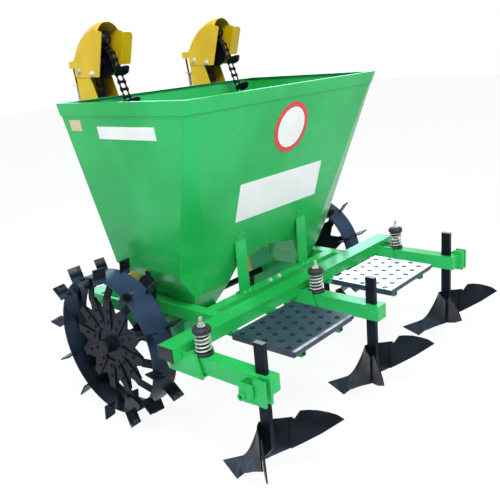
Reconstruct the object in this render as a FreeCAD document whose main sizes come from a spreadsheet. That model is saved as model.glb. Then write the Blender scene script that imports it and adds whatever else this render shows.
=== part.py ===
import FreeCAD, Part
import math
import os

import Sketcher
from FreeCAD import Placement, Rotation, Vector

# Two-row potato planter. X is to the machine's right, Y forwards to the tractor, Z up, in millimetres.
# Places along Y count from the wheel axle; each node's placement then moves it by axle_y,
# so that the origin is below the middle of the machine's bounding box, on the ground.

sizes = {
    "axle_y": 250.27,
    "axle_z": 339.6,
    "row_spacing": 675,
    # Toolbar
    "toolbar_half": 757, "toolbar_rear": -458, "toolbar_front": -378,
    "toolbar_low": 405, "toolbar_top": 455, "toolbar_wall": 5, "cap_sheet": 3, "cap_depth": 20,
    # Frame tubes
    "frame_low": 400, "frame_top": 450, "frame_wall": 4,
    "rail_inner": 410, "rail_outer": 460,
    "beam_half": 530, "beam_rear": 270, "beam_front": 350,
    "cross_rear": -331, "cross_front": -281,
    # Axle brackets, stub axles and drive guards
    "bracket_inner": 530, "bracket_outer": 542, "bracket_rear": -50, "bracket_slope": -10,
    "bracket_knee": 110, "outrigger_rear": 62, "outrigger_front": 112,
    "axle_radius": 20, "axle_inner": 508, "axle_outer": 735, "axle_fit": 0.05,
    "collar_radius": 32, "collar_length": 14,
    "guard_inner": 508, "guard_low_radius": 60, "guard_top_radius": 42, "guard_top_y": -62,
    "guard_top_z": 545,
    # Wheels
    "rim_radius": 291, "rim_sheet": 6, "rim_inner": 607, "rim_outer": 723,
    "lug_tip": 341, "lug_root": 276, "lug_length": 53, "lug_sheet": 6, "lug_overhang": 30,
    "lug_count": 12, "lug_phase": -8, "outer_lug_twist": 8, "inner_lug_twist": 10,
    "spoke_width": 37, "spoke_sheet": 6, "spoke_root": 72, "spoke_bend": 204, "spoke_spread": 21,
    "hub_plate_inner": 692, "hub_plate_outer": 698, "hub_notch": 155, "hub_tip": 200,
    "boss_radius": 34, "boss_inner": 640, "boss_outer": 712, "keeper_radius": 30,
    # Hopper
    "hopper_top": 1283, "hopper_seam": 606, "hopper_sheet": 3,
    "top_half": 591, "top_rear": -491, "top_front": 254, "top_facet": 20,
    "seam_half": 504, "seam_rear": -280, "seam_front": 145, "seam_facet": 123, "facet_slope": 0.285,
    "edge_band": 50, "edge_sheet": 3, "edge_flange": 14,
    # Funnels
    "saddle_z": 566, "neck_z": 490, "outlet_z": 410,
    "chute_half": 45, "chute_rear": -120, "chute_front": 30, "chute_low": 405, "chute_top": 548,
    # Posts and struts of the hopper
    "post_centre": 205, "post_width": 63, "post_sheet": 6, "post_y": -303, "post_top": 713,
    "strut_inner": 100, "strut_outer": 140, "strut_rear": 285, "strut_front": 335,
    "strut_low_z": 660, "strut_top_z": 720,
    # Hitch
    "link_plate_x": 294, "link_y": 430, "link_z": 400, "link_pin_radius": 11, "link_pin_end": 376,
    "link_plate": 12, "link_shoulder": 5, "link_shoulder_radius": 18,
    "link_eye": 35, "top_link_z": 860, "top_link_bore": 9.65, "top_link_gap": 26, "mast_plate": 12,
    "mast_foot_x": 200, "mast_foot_y": 310, "mast_leg": 40, "mast_joint_z": 790, "mast_joint_y": 405,
    "ear_lap": 30, "brace_half": 128, "brace_rear": 332, "brace_front": 370, "brace_low": 588,
    "brace_top": 618,
    # Elevators
    "row_x": 337, "tube_half": 56, "tube_wall": 3, "tube_low": 300, "tube_top": 1400,
    "tube_rear": 84, "tube_rear_slope": 0.2006, "tube_front": 182, "tube_front_slope": 0.203,
    "tube_open_z": 1240, "tube_lip_y": 258.5, "tube_lip_z": 1252, "tube_lip_top": 1284, "tube_mouth_y": 298,
    "tube_knee_z": 1290, "tube_crest_y": 386, "chain_slot_half": 30, "chain_slot_top": 430,
    "hood_near": 59, "hood_far": 49, "hood_rear": 220, "hood_rear_z": 1366,
    "hood_peak": 162, "hood_peak_z": 1537, "hood_sheet": 3, "hood_crown": 30, "hood_arc": 215,
    "hood_arc_y": 192, "hood_arc_z": 1338,
    "flange_reach": 52, "flange_low": 1408, "flange_top": 1534, "flange_corner": 20,
    "tensioner_half": 30, "tensioner_rear": 392, "tensioner_front": 464, "tensioner_low": 1408,
    "tensioner_top": 1438, "tensioner_sheet": 4,
    "sprocket_radius": 61, "sprocket_half": 7, "shaft_radius": 15, "low_sprocket_y": 35,
    "low_sprocket_z": 341,
    "top_sprocket_y": 250, "top_sprocket_z": 1420,
    "idler_y": -40, "idler_z": 585, "idler_end": 500, "idler_shaft": 10,
    "loop_inner": 62, "loop_outer": 70, "loop_half": 17,
    "cup_count": 20, "cup_phase": 0.63, "cup_reach": 58, "cup_lap": 4, "cup_half": 32,
    "cup_root_half": 19, "cup_tip_half": 11,
    "shaft_half": 508,
    # Boots and furrow openers below the elevators
    "boot_half": 56, "boot_sheet": 3, "boot_rear": -222, "boot_top": 410, "boot_step": 395,
    "boot_radius": 145,
    "boot_seat": 561, "boot_seat_y": 66, "boot_neck_y": -46, "boot_neck_z": 488, "boot_mouth_y": -74,
    "opener_low": 62, "opener_rear": 84, "opener_top_half": 60, "opener_low_half": 40,
    "opener_top_shoulder": 150, "opener_top_nose": 228, "opener_low_shoulder": 120, "opener_low_nose": 178,
    "stay_half": 30, "stay_low": 405, "stay_top": 445, "upper_stay_low": 1180, "upper_stay_top": 1215,
    # Arms, brackets and springs of the ridging gear
    "arm_half": 30, "arm_low": 364, "arm_top": 424, "arm_wall": 4, "arm_rear": -836, "arm_front": -464,
    "tongue_low": 358, "tongue_top": 396, "tongue_half": 22, "pivot_y": -404, "pivot_z": 377,
    "pivot_radius": 9,
    "cheek_inner": 35, "cheek_outer": 45, "cheek_rear": -554, "cheek_low": 348, "cheek_front": -368,
    "spring_y": -529, "spring_low": 434, "spring_top": 508, "coil_radius": 26, "wire_radius": 3.5,
    "coil_turns": 5,
    "rod_radius": 7, "rod_top": 564, "cap_radius": 32,
    # Shanks and their clamps
    "shank_half": 10, "shank_rear": -815, "shank_front": -775, "shank_top": 535, "shank_tip": 100,
    "shank_slope": 150, "slot_gap": 1,
    "ring_width": 45, "ring_wall": 5, "ring_low": 352, "ring_top": 418, "ring_front": -755,
    "clamp_strip": 10, "clamp_inset": 1, "clamp_pitch": 30, "clamp_rear": -862, "clamp_low": 350,
    "clamp_top": 440,
    "plate_low": 354, "boss_y": -772, "boss_z": 372, "screw_boss": 13, "screw_bore": 7, "screw_length": 14,
    # Ridging bodies
    "share_tip_y": -558, "share_barb_x": 52, "share_barb_y": -678, "share_ridge_y": -667,
    "share_ridge_z": 63,
    "wing_line": -745, "wing_behind": 10, "mould_sheet": 5,
    # Footboards
    "board_inner": 145, "board_outer": 510, "board_rear": -797, "board_front": -508, "board_top": 429,
    "board_fold": 24, "board_sheet": 3, "board_roll": 9, "bar_width": 25, "bar_low": 381,
    "bar_first": 195, "bar_second": 430,
}


class Size:
    # A length with the formula that gives it from the sheet.
    def __init__(self, value, formula):
        self.value = value
        self.formula = formula

    def __add__(self, other):
        other = size(other)
        return Size(self.value + other.value, f"({self.formula} + {other.formula})")

    def __sub__(self, other):
        other = size(other)
        return Size(self.value - other.value, f"({self.formula} - {other.formula})")

    def __mul__(self, other):
        other = size(other)
        return Size(self.value * other.value, f"({self.formula} * {other.formula})")

    def __truediv__(self, other):
        other = size(other)
        return Size(self.value / other.value, f"({self.formula} / {other.formula})")

    def __rsub__(self, other):
        return size(other) - self

    def __neg__(self):
        return self * -1

    __radd__ = __add__
    __rmul__ = __mul__


class Names:
    # The sheet's sizes as attributes.
    pass


def size(item):
    return item if isinstance(item, Size) else Size(item, str(item))


def root(item):
    return Size(math.sqrt(item.value), f"sqrt({item.formula})")


doc = FreeCAD.newDocument("PotatoPlanter")
sheet = doc.addObject("Spreadsheet::Sheet", "Sizes")
dim = Names()
for row, (name, value) in enumerate(sizes.items(), start=1):
    sheet.set(f"A{row}", name)
    sheet.set(f"B{row}", str(value))
    sheet.setAlias(f"B{row}", name)
    setattr(dim, name, Size(value, f"Sizes.{name}"))
doc.recompute()

nodes = {}
planes = {"x": "YZ_Plane", "y": "XZ_Plane", "z": "XY_Plane"}
turns = {"x": Rotation(Vector(0, 1, 0), 90), "y": Rotation(Vector(1, 0, 0), -90), "z": Rotation()}


def bind(item, target, length):
    item.setExpression(target, size(length).formula)


def place(item, spots):
    for axis, spot in spots.items():
        bind(item, f"Placement.Base.{axis}", spot)


def box(x, y, z):
    item = doc.addObject("Part::Box", "Block")
    for target, (low, high) in (("Length", x), ("Width", y), ("Height", z)):
        bind(item, target, size(high) - low)
    place(item, {"x": x[0], "y": y[0], "z": z[0]})
    return item


def rod(along, centre, span, radius):
    # A round bar along one axis; its centre is given by the two other coordinates, in x, y, z order.
    item = doc.addObject("Part::Cylinder", "Round")
    item.Placement = Placement(Vector(), turns[along])
    bind(item, "Radius", radius)
    bind(item, "Height", size(span[1]) - span[0])
    place(item, {**dict(zip("xyz".replace(along, ""), centre)), along: span[0]})
    return item


def fuse(*items):
    if len(items) == 1:
        return items[0]
    item = doc.addObject("Part::MultiFuse", "Joined")
    item.Shapes = list(items)
    item.Refine = True
    return item


def cut(base, *tools):
    item = doc.addObject("Part::Cut", "Cut")
    item.Base = base
    item.Tool = fuse(*tools)
    return item


def tube(along, x, y, z, wall):
    # A square tube: a block less its core, which runs right through along one axis.
    spans = {"x": x, "y": y, "z": z}
    core = {axis: (low, high) if axis == along else (low + wall, high - wall)
            for axis, (low, high) in spans.items()}
    return cut(box(x, y, z), box(**core))


def pipe(along, centre, span, radius, bore):
    return cut(rod(along, centre, span, radius), rod(along, centre, span, bore))


def edge(start, end, radius):
    # A straight edge, or a round one of the given radius: positive bulges out of an anticlockwise outline.
    if radius is None:
        return Part.LineSegment(start, end)
    half = (end - start).Length / 2
    left = Vector(start.y - end.y, end.x - start.x, 0).normalize()
    reach = math.copysign(math.sqrt(max(radius**2 - half**2, 0)), radius)
    centre = (start + end) / 2 + left * reach
    angles = [math.atan2(point.y - centre.y, point.x - centre.x) for point in (start, end)]
    if radius < 0:
        angles.reverse()
    return Part.ArcOfCircle(Part.Circle(centre, Vector(0, 0, 1), abs(radius)), *angles)


def trace(sketch, outline):
    # Draws one closed outline; each corner is (u, v), with the radius of the edge after it if that is round.
    corners = [(size(corner[0]), size(corner[1])) for corner in outline]
    radii = [size(corner[2]) if len(corner) > 2 else None for corner in outline]
    spots = [Vector(across.value, up.value, 0) for across, up in corners]
    first = sketch.GeometryCount
    count = len(outline)
    for index, radius in enumerate(radii):
        curve = edge(spots[index], spots[(index + 1) % count], radius.value if radius else None)
        sketch.addGeometry(curve)
    starts = [2 if radius and radius.value < 0 else 1 for radius in radii]
    for index, (across, up) in enumerate(corners):
        this = first + index
        following = (index + 1) % count
        sketch.addConstraint(Sketcher.Constraint(
            "Coincident", this, 3 - starts[index], first + following, starts[following]))
        for kind, length in (("DistanceX", across), ("DistanceY", up)):
            number = sketch.addConstraint(Sketcher.Constraint(kind, -1, 1, this, starts[index], length.value))
            bind(sketch, f"Constraints[{number}]", length)
        if radii[index]:
            number = sketch.addConstraint(Sketcher.Constraint("Radius", this, abs(radii[index].value)))
            bind(sketch, f"Constraints[{number}]", radii[index] if radii[index].value > 0 else -radii[index])


def draw(body, along, level, outlines):
    # A sketch square to an axis at the given level.
    sketch = body.newObject("Sketcher::SketchObject", "Outline")
    plane = next(item for item in body.Origin.OriginFeatures if item.Role == planes[along])
    sketch.AttachmentSupport = [(plane, "")]
    sketch.MapMode = "FlatFace"
    bind(sketch, "AttachmentOffset.Base.z", -size(level) if along == "y" else level)
    for outline in outlines:
        trace(sketch, outline)
    return sketch


def prism(along, span, *outlines):
    # A plate cut to its outlines; an outline within another is a hole.
    body = doc.addObject("PartDesign::Body", "Plate")
    sketch = draw(body, along, span[1] if along == "y" else span[0], outlines)
    pad = body.newObject("PartDesign::Pad", "Pad")
    pad.Profile = sketch
    bind(pad, "Length", size(span[1]) - span[0])
    return body


def loft(levels, outers, inners=()):
    # Flat-sided skin through outlines at rising levels, less the same through the inner outlines.
    body = doc.addObject("PartDesign::Body", "Skin")
    for kind, outlines in (("PartDesign::AdditiveLoft", outers), ("PartDesign::SubtractiveLoft", inners)):
        if outlines:
            sketches = [draw(body, "z", level, [outline]) for level, outline in zip(levels, outlines)]
            skin = body.newObject(kind, "Loft")
            skin.Profile = sketches[0]
            skin.Sections = sketches[1:]
            skin.Ruled = True
    return body


def solid(shape):
    item = doc.addObject("Part::Feature", "Form")
    item.Shape = shape
    return item


def mirror(item):
    twin = doc.addObject("Part::Mirroring", "Mirrored")
    twin.Source = item
    twin.Normal = Vector(1, 0, 0)
    return twin


def node(label, item):
    # Names a sub-part and moves it by axle_y, on top of its own place.
    own = dict(item.ExpressionEngine).get(".Placement.Base.y", "0")
    item.setExpression("Placement.Base.y", f"{own} + Sizes.axle_y")
    item.Label = label
    nodes[label] = item


def pair(label, item):
    # A right-hand sub-part and its mirror image on the left.
    node(label + "_right", item)
    twin = mirror(item)
    twin.Label = label + "_left"
    nodes[label + "_left"] = twin


def twins(label, item):
    # A right-hand piece and its mirror image on the left in one node.
    node(label, fuse(item, mirror(item)))


def both(reach):
    return (-reach, reach)


def leg(start, end):
    # Direction from one wheel's centre to the next.
    run_y = end[0] - start[0]
    run_z = end[1] - start[1]
    run = root(run_y * run_y + run_z * run_z)
    return run_y / run, run_z / run


def belt(wheels, radius):
    # Outline of a belt round equal wheels, anticlockwise: one or two arcs on each, then a straight run.
    legs = [leg(*ends) for ends in zip(wheels, wheels[1:] + wheels[:1])]
    corners = []
    for number, (y, z) in enumerate(wheels):
        in_y, in_z = legs[number - 1]
        out_y, out_z = legs[number]
        corners.append((y + radius * in_z, z - radius * in_y, radius))
        if (in_y * out_y + in_z * out_z).value < 0:
            corners.append((y + radius * in_y, z + radius * in_z, radius))
        corners.append((y + radius * out_z, z - radius * out_y))
    return corners


# Frame

frame_z = (dim.frame_low, dim.frame_top)


def frame():
    toolbar = tube("x", both(dim.toolbar_half), (dim.toolbar_rear, dim.toolbar_front),
                   (dim.toolbar_low, dim.toolbar_top), dim.toolbar_wall)
    node("toolbar", toolbar)
    head = box((dim.toolbar_half, dim.toolbar_half + dim.cap_sheet), (dim.toolbar_rear, dim.toolbar_front),
               (dim.toolbar_low, dim.toolbar_top))
    plug = box((dim.toolbar_half - dim.cap_depth, dim.toolbar_half),
               (dim.toolbar_rear + dim.toolbar_wall, dim.toolbar_front - dim.toolbar_wall),
               (dim.toolbar_low + dim.toolbar_wall, dim.toolbar_top - dim.toolbar_wall))
    twins("toolbar_caps", fuse(head, plug))
    rail = tube("y", (dim.rail_inner, dim.rail_outer), (dim.toolbar_front, dim.beam_rear), frame_z,
                dim.frame_wall)
    pair("side_rail", rail)
    node("front_beam", tube("x", both(dim.beam_half), (dim.beam_rear, dim.beam_front), frame_z, dim.frame_wall))
    node("rear_cross_beam",
         tube("x", both(dim.rail_inner), (dim.cross_rear, dim.cross_front), frame_z, dim.frame_wall))


def axle_bracket():
    # Plate from the front beam's end back and down to the round eye of the stub axle, with its outrigger tube.
    eye = -dim.bracket_rear
    outline = [
        (dim.bracket_rear, dim.axle_z, eye),
        (0, dim.axle_z - eye, eye),
        (eye, dim.axle_z),
        (dim.bracket_knee, dim.frame_low),
        (dim.beam_front, dim.frame_low),
        (dim.beam_front, dim.frame_top),
        (dim.bracket_slope, dim.frame_top),
        (dim.bracket_rear, dim.frame_low),
    ]
    plate = prism("x", (dim.bracket_inner, dim.bracket_outer), outline)
    bore = rod("x", (0, dim.axle_z), (dim.bracket_inner, dim.bracket_outer), dim.axle_radius + dim.axle_fit)
    outrigger = tube("x", (dim.rail_outer, dim.bracket_inner), (dim.outrigger_rear, dim.outrigger_front),
                     frame_z, dim.frame_wall)
    pair("axle_bracket", fuse(cut(plate, bore), outrigger))


def stub_axle():
    # Fixed axle with a collar against the bracket plate and a keeper disc outside the hub.
    axle = rod("x", (0, dim.axle_z), (dim.axle_inner, dim.axle_outer), dim.axle_radius)
    collar = rod("x", (0, dim.axle_z), (dim.bracket_outer, dim.bracket_outer + dim.collar_length),
                 dim.collar_radius)
    keeper = rod("x", (0, dim.axle_z), (dim.boss_outer + 2, dim.axle_outer), dim.keeper_radius)
    pair("stub_axle", fuse(axle, collar, keeper))


def drive_guard():
    # Flat case over the drive, from the axle up behind the hopper's side.
    low = rod("x", (0, dim.axle_z), (dim.guard_inner, dim.bracket_inner), dim.guard_low_radius)
    top = rod("x", (dim.guard_top_y, dim.guard_top_z), (dim.guard_inner, dim.bracket_inner),
              dim.guard_top_radius)
    low_radius = dim.guard_low_radius
    top_radius = dim.guard_top_radius
    middle = prism("x", (dim.guard_inner, dim.bracket_inner), [
        (-low_radius, dim.axle_z),
        (low_radius, dim.axle_z),
        (dim.guard_top_y + top_radius, dim.guard_top_z),
        (dim.guard_top_y - top_radius, dim.guard_top_z),
    ])
    hole = rod("x", (0, dim.axle_z), (dim.guard_inner, dim.bracket_inner), dim.axle_radius + dim.axle_fit)
    pair("drive_guard", cut(fuse(low, top, middle), hole))


# Wheels


def wheel_bar(points, width, thickness):
    # Flat bar bent along points in the radial plane: x outwards, z along the radius.
    upper = [Vector(x, -width / 2, z) for x, z in points]
    lower = [Vector(x - thickness, -width / 2, z) for x, z in reversed(points)]
    outline = upper + lower + upper[:1]
    return Part.Face(Part.makePolygon(outline)).extrude(Vector(0, width, 0))


def lug(x, twist):
    # Flat lug standing on the rim, turned about the radius by its twist.
    width = dim.lug_length.value
    plate = Part.makeBox(width, dim.lug_sheet.value, dim.lug_tip.value - dim.lug_root.value,
                         Vector(-width / 2, -dim.lug_sheet.value / 2, dim.lug_root.value))
    plate.rotate(Vector(), Vector(0, 0, 1), twist)
    plate.translate(Vector(x, 0, 0))
    return plate


def wheel():
    # Rim band with twisted lugs along both edges and six pairs of bent flat spokes, all welded.
    centre = Vector(0, 0, dim.axle_z.value)
    axis = Vector(1, 0, 0)
    band_width = dim.rim_outer.value - dim.rim_inner.value
    start = Vector(dim.rim_inner.value, 0, 0)
    band = Part.makeCylinder(dim.rim_radius.value, band_width, start, axis)
    bore = Part.makeCylinder(dim.rim_radius.value - dim.rim_sheet.value, band_width, start, axis)
    middle = (dim.rim_inner.value + dim.rim_outer.value) / 2
    reach = dim.rim_radius.value - dim.rim_sheet.value / 2
    face = dim.hub_plate_outer.value + dim.spoke_sheet.value
    bar = wheel_bar([(face, dim.spoke_root.value), (face, dim.spoke_bend.value), (middle, reach)],
                    dim.spoke_width.value, dim.spoke_sheet.value)
    shift = (dim.lug_length.value / 2) - dim.lug_overhang.value
    edges = ((dim.rim_outer.value - shift, dim.outer_lug_twist.value),
             (dim.rim_inner.value + shift, -dim.inner_lug_twist.value))
    welded = []
    step = 360 / dim.lug_count.value
    for number in range(dim.lug_count.value):
        angle = dim.lug_phase.value + number * step
        for x, twist in edges:
            plate = lug(x, twist)
            plate.rotate(Vector(), axis, -angle)
            welded.append(plate)
        lean = -1 if number % 2 else 1
        spoke = bar.copy()
        spread = dim.spoke_spread.value - dim.spoke_root.value * math.tan(math.radians(step / 2))
        tilt = math.degrees(math.atan2(spread, reach - dim.spoke_root.value))
        spoke.rotate(Vector(0, 0, reach), axis, lean * tilt)
        spoke.rotate(Vector(), axis, -angle)
        welded.append(spoke)
    shape = band.cut(bore).multiFuse(welded)
    shape.translate(centre)
    pair("wheel_rim", solid(shape.removeSplitter()))
    axle = (0, dim.axle_z)
    star = []
    for number in range(dim.lug_count.value):
        angle = math.radians(dim.lug_phase.value + number * step)
        half = dim.spoke_width / 2
        for turn, across, along in ((0, -half, dim.hub_tip), (0, half, dim.hub_tip),
                                    (math.radians(step / 2), 0, dim.hub_notch)):
            sine = math.sin(angle + turn)
            cosine = math.cos(angle + turn)
            star.append((along * sine + across * cosine, dim.axle_z + along * cosine - across * sine))
    plate = prism("x", (dim.hub_plate_inner, dim.hub_plate_outer), star)
    boss = rod("x", axle, (dim.boss_inner, dim.boss_outer), dim.boss_radius)
    hole = rod("x", axle, (dim.boss_inner, dim.boss_outer), dim.axle_radius + dim.axle_fit)
    pair("wheel_hub", cut(fuse(plate, boss), hole))


# Hopper


wall_top = dim.hopper_top - dim.edge_sheet


def ring(half, rear, front, facet, inset):
    # Right half of the hopper's plan, from the middle of the rear wall round to the middle of the front wall.
    slope = dim.facet_slope
    slant = root(slope * slope + 1)
    return [
        (0, rear + inset),
        (half - facet - inset * (slant - 1) / slope, rear + inset),
        (half - inset, rear + slope * facet + inset * (slant - slope)),
        (half - inset, front - inset),
        (0, front - inset),
    ]


def top_ring(inset):
    return ring(dim.top_half, dim.top_rear, dim.top_front, dim.top_facet, inset)


def seam_ring(inset):
    return ring(dim.seam_half, dim.seam_rear, dim.seam_front, dim.seam_facet, inset)


def band_ring(inset):
    # The hopper's plan at the lower edge of its edge band.
    share = (dim.hopper_top - dim.edge_band - dim.hopper_seam) / (wall_top - dim.hopper_seam)
    spans = ((dim.seam_half, dim.top_half), (dim.seam_rear, dim.top_rear),
             (dim.seam_front, dim.top_front), (dim.seam_facet, dim.top_facet))
    return ring(*(low + (high - low) * share for low, high in spans), inset)


def whole(half_ring):
    # A closed plan from its right half.
    corners = half_ring[1:-1]
    return corners + [(-x, y) for x, y in reversed(corners)]


def hopper():
    # Four sheet walls that lean outwards, meeting at mitred corners, with a folded edge round the top.
    levels = (dim.hopper_seam, wall_top)
    sheet_size = dim.hopper_sheet
    outer_rings = (seam_ring(0), top_ring(0))
    inner_rings = (seam_ring(sheet_size), top_ring(sheet_size))
    rears = []
    sides = []
    fronts = []
    for outer, inner in zip(outer_rings, inner_rings):
        rear_half = [outer[1], outer[2], inner[2], inner[1]]
        rears.append([outer[1], outer[2], inner[2], inner[1]] + [(-x, y) for x, y in reversed(rear_half)])
        sides.append([outer[2], outer[3], inner[3], inner[2]])
        fronts.append([outer[3], (-outer[3][0], outer[3][1]), (-inner[3][0], inner[3][1]), inner[3]])
    node("hopper_rear_panel", loft(levels, rears))
    pair("hopper_side_panel", loft(levels, sides))
    node("hopper_front_panel", loft(levels, fronts))
    band_levels = (dim.hopper_top - dim.edge_band, wall_top)
    band = loft(band_levels, [whole(band_ring(-dim.edge_sheet)), whole(top_ring(-dim.edge_sheet))],
                [whole(band_ring(0)), whole(top_ring(0))])
    flange = prism("z", (wall_top, dim.hopper_top),
                   whole(top_ring(-dim.edge_sheet)), whole(top_ring(dim.edge_flange)))
    node("hopper_edge", fuse(band, flange))


def funnel():
    # Bottom of the hopper's right half: a saddle by the middle, then a neck and a straight outlet duct.
    levels = (dim.outlet_z, dim.neck_z, dim.saddle_z, dim.hopper_seam)
    outers = [
        [(280, -200), (384, -200), (394, -190), (394, -78), (280, -78)],
        [(238, -244), (395, -244), (424, -232), (424, -51), (238, -51)],
        [(190, -267.5), (384, -267.5), (480, -240), (480, 63), (190, 63)],
        seam_ring(0),
    ]
    inners = [
        [(283, -197), (383, -197), (391, -189), (391, -81), (283, -81)],
        [(242, -240), (394, -240), (420, -229), (420, -57), (242, -57)],
        [(200, -263), (383, -263), (475, -236), (475, 54), (200, 54)],
        [(25, -277), *seam_ring(dim.hopper_sheet)[1:3],
         (dim.seam_half - dim.hopper_sheet, dim.seam_front - 8), (25, dim.seam_front - 8)],
    ]
    slot = box((dim.row_x - dim.chute_half, dim.row_x + dim.chute_half), (dim.chute_rear, dim.chute_front),
               (dim.chute_low, dim.chute_top))
    hole = rod("x", (dim.idler_y, dim.idler_z), (dim.row_x, dim.idler_end), dim.idler_shaft + dim.axle_fit)
    pair("hopper_funnel", cut(loft(levels, outers, inners), slot, hole))


def wall_y(z):
    # The rear wall's outer face at a height.
    slope = (dim.top_rear - dim.seam_rear) / (wall_top - dim.hopper_seam)
    return dim.seam_rear + slope * (z - dim.hopper_seam)


def front_wall_y(z):
    slope = (dim.top_front - dim.seam_front) / (wall_top - dim.hopper_seam)
    return dim.seam_front + slope * (z - dim.hopper_seam)


def supports():
    # Rear post: a bolted foot, an upright bar that follows the wall, and a rib; front strut from the beam.
    reach = dim.post_width / 2
    bar_x = (dim.post_centre - reach, dim.post_centre + reach)
    touch = dim.hopper_seam + (dim.post_y - dim.seam_rear) / (wall_y(dim.hopper_seam + 1) - dim.seam_rear)
    upright = prism("x", bar_x, [
        (dim.post_y - dim.post_sheet, dim.frame_top),
        (dim.post_y, dim.frame_top),
        (dim.post_y, touch),
        (wall_y(dim.post_top), dim.post_top),
        (wall_y(dim.post_top) - dim.post_sheet, dim.post_top),
        (dim.post_y - dim.post_sheet, touch),
    ])
    foot = box(bar_x, (dim.cross_rear, dim.cross_front), (dim.frame_top, dim.frame_top + dim.post_sheet))
    rib_x = (dim.post_centre - dim.post_sheet / 2, dim.post_centre + dim.post_sheet / 2)
    rib = prism("x", rib_x, [
        (dim.post_y, dim.frame_top),
        (dim.cross_front, dim.frame_top),
        (wall_y(dim.hopper_seam), dim.hopper_seam),
        (dim.post_y, touch),
    ])
    twins("hopper_posts", fuse(upright, foot, rib))
    strut = prism("x", (dim.strut_inner, dim.strut_outer), [
        (dim.strut_rear, dim.frame_top),
        (dim.strut_front, dim.frame_top),
        (front_wall_y(dim.strut_top_z), dim.strut_top_z),
        (front_wall_y(dim.strut_low_z), dim.strut_low_z),
    ])
    twins("hopper_struts", strut)


# Hitch


def hitch():
    # Lower link plates on the front beam with their outward studs, and the mast with its clevis.
    plate_x = (dim.link_plate_x, dim.link_plate_x + dim.link_plate)
    plate = prism("x", plate_x, [
        (dim.beam_front, dim.frame_low - dim.link_eye),
        (dim.link_y, dim.link_z - dim.link_eye, dim.link_eye),
        (dim.link_y + dim.link_eye, dim.link_z, dim.link_eye),
        (dim.link_y, dim.link_z + dim.link_eye),
        (dim.beam_front, dim.frame_top),
    ])
    gusset = box((plate_x[0] - dim.link_eye, plate_x[0]), (dim.beam_front, dim.link_y - dim.link_eye),
                 (dim.frame_low, dim.frame_low + dim.link_plate))
    spot = (dim.link_y, dim.link_z)
    shoulder = rod("x", spot, (plate_x[1], plate_x[1] + dim.link_shoulder), dim.link_shoulder_radius)
    stud = rod("x", spot, (plate_x[1], dim.link_pin_end), dim.link_pin_radius)
    pair("lower_link_bracket", fuse(plate, gusset, shoulder, stud))
    parts = []
    reach = dim.mast_leg / 2
    gap = dim.top_link_gap
    for side in (-1, 1):
        centre = side * dim.mast_foot_x
        head = side * (gap + dim.mast_plate / 2)
        depth = dim.mast_plate / 2
        parts.append(loft((dim.frame_top, dim.mast_joint_z), [
            rectangle(centre, dim.mast_foot_y, reach, reach),
            rectangle(head, dim.mast_joint_y, depth, reach),
        ]))
        inner = gap if side > 0 else -gap - dim.mast_plate
        eye = dim.mast_joint_z - dim.ear_lap
        ear = prism("x", (inner, inner + dim.mast_plate), [
            (dim.mast_joint_y - reach, eye),
            (dim.mast_joint_y + reach, eye),
            (dim.link_y + reach, dim.top_link_z, reach),
            (dim.link_y, dim.top_link_z + reach, reach),
            (dim.link_y - reach, dim.top_link_z),
        ])
        parts.append(ear)
    parts.append(box(both(dim.brace_half), (dim.brace_rear, dim.brace_front), (dim.brace_low, dim.brace_top)))
    bore = rod("x", (dim.link_y, dim.top_link_z), both(gap + dim.mast_plate), dim.top_link_bore)
    node("hitch_mast", cut(fuse(*parts), bore))


def rectangle(x, y, reach_x, reach_y):
    return [(x - reach_x, y - reach_y), (x + reach_x, y - reach_y),
            (x + reach_x, y + reach_y), (x - reach_x, y + reach_y)]


# Elevators


def tube_rear_y(z):
    # The elevator tube's rear face at a height.
    return dim.tube_rear + dim.tube_rear_slope * (z - dim.tube_low)


def tube_front_y(z):
    return dim.tube_front + dim.tube_front_slope * (z - dim.tube_low)


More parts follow.
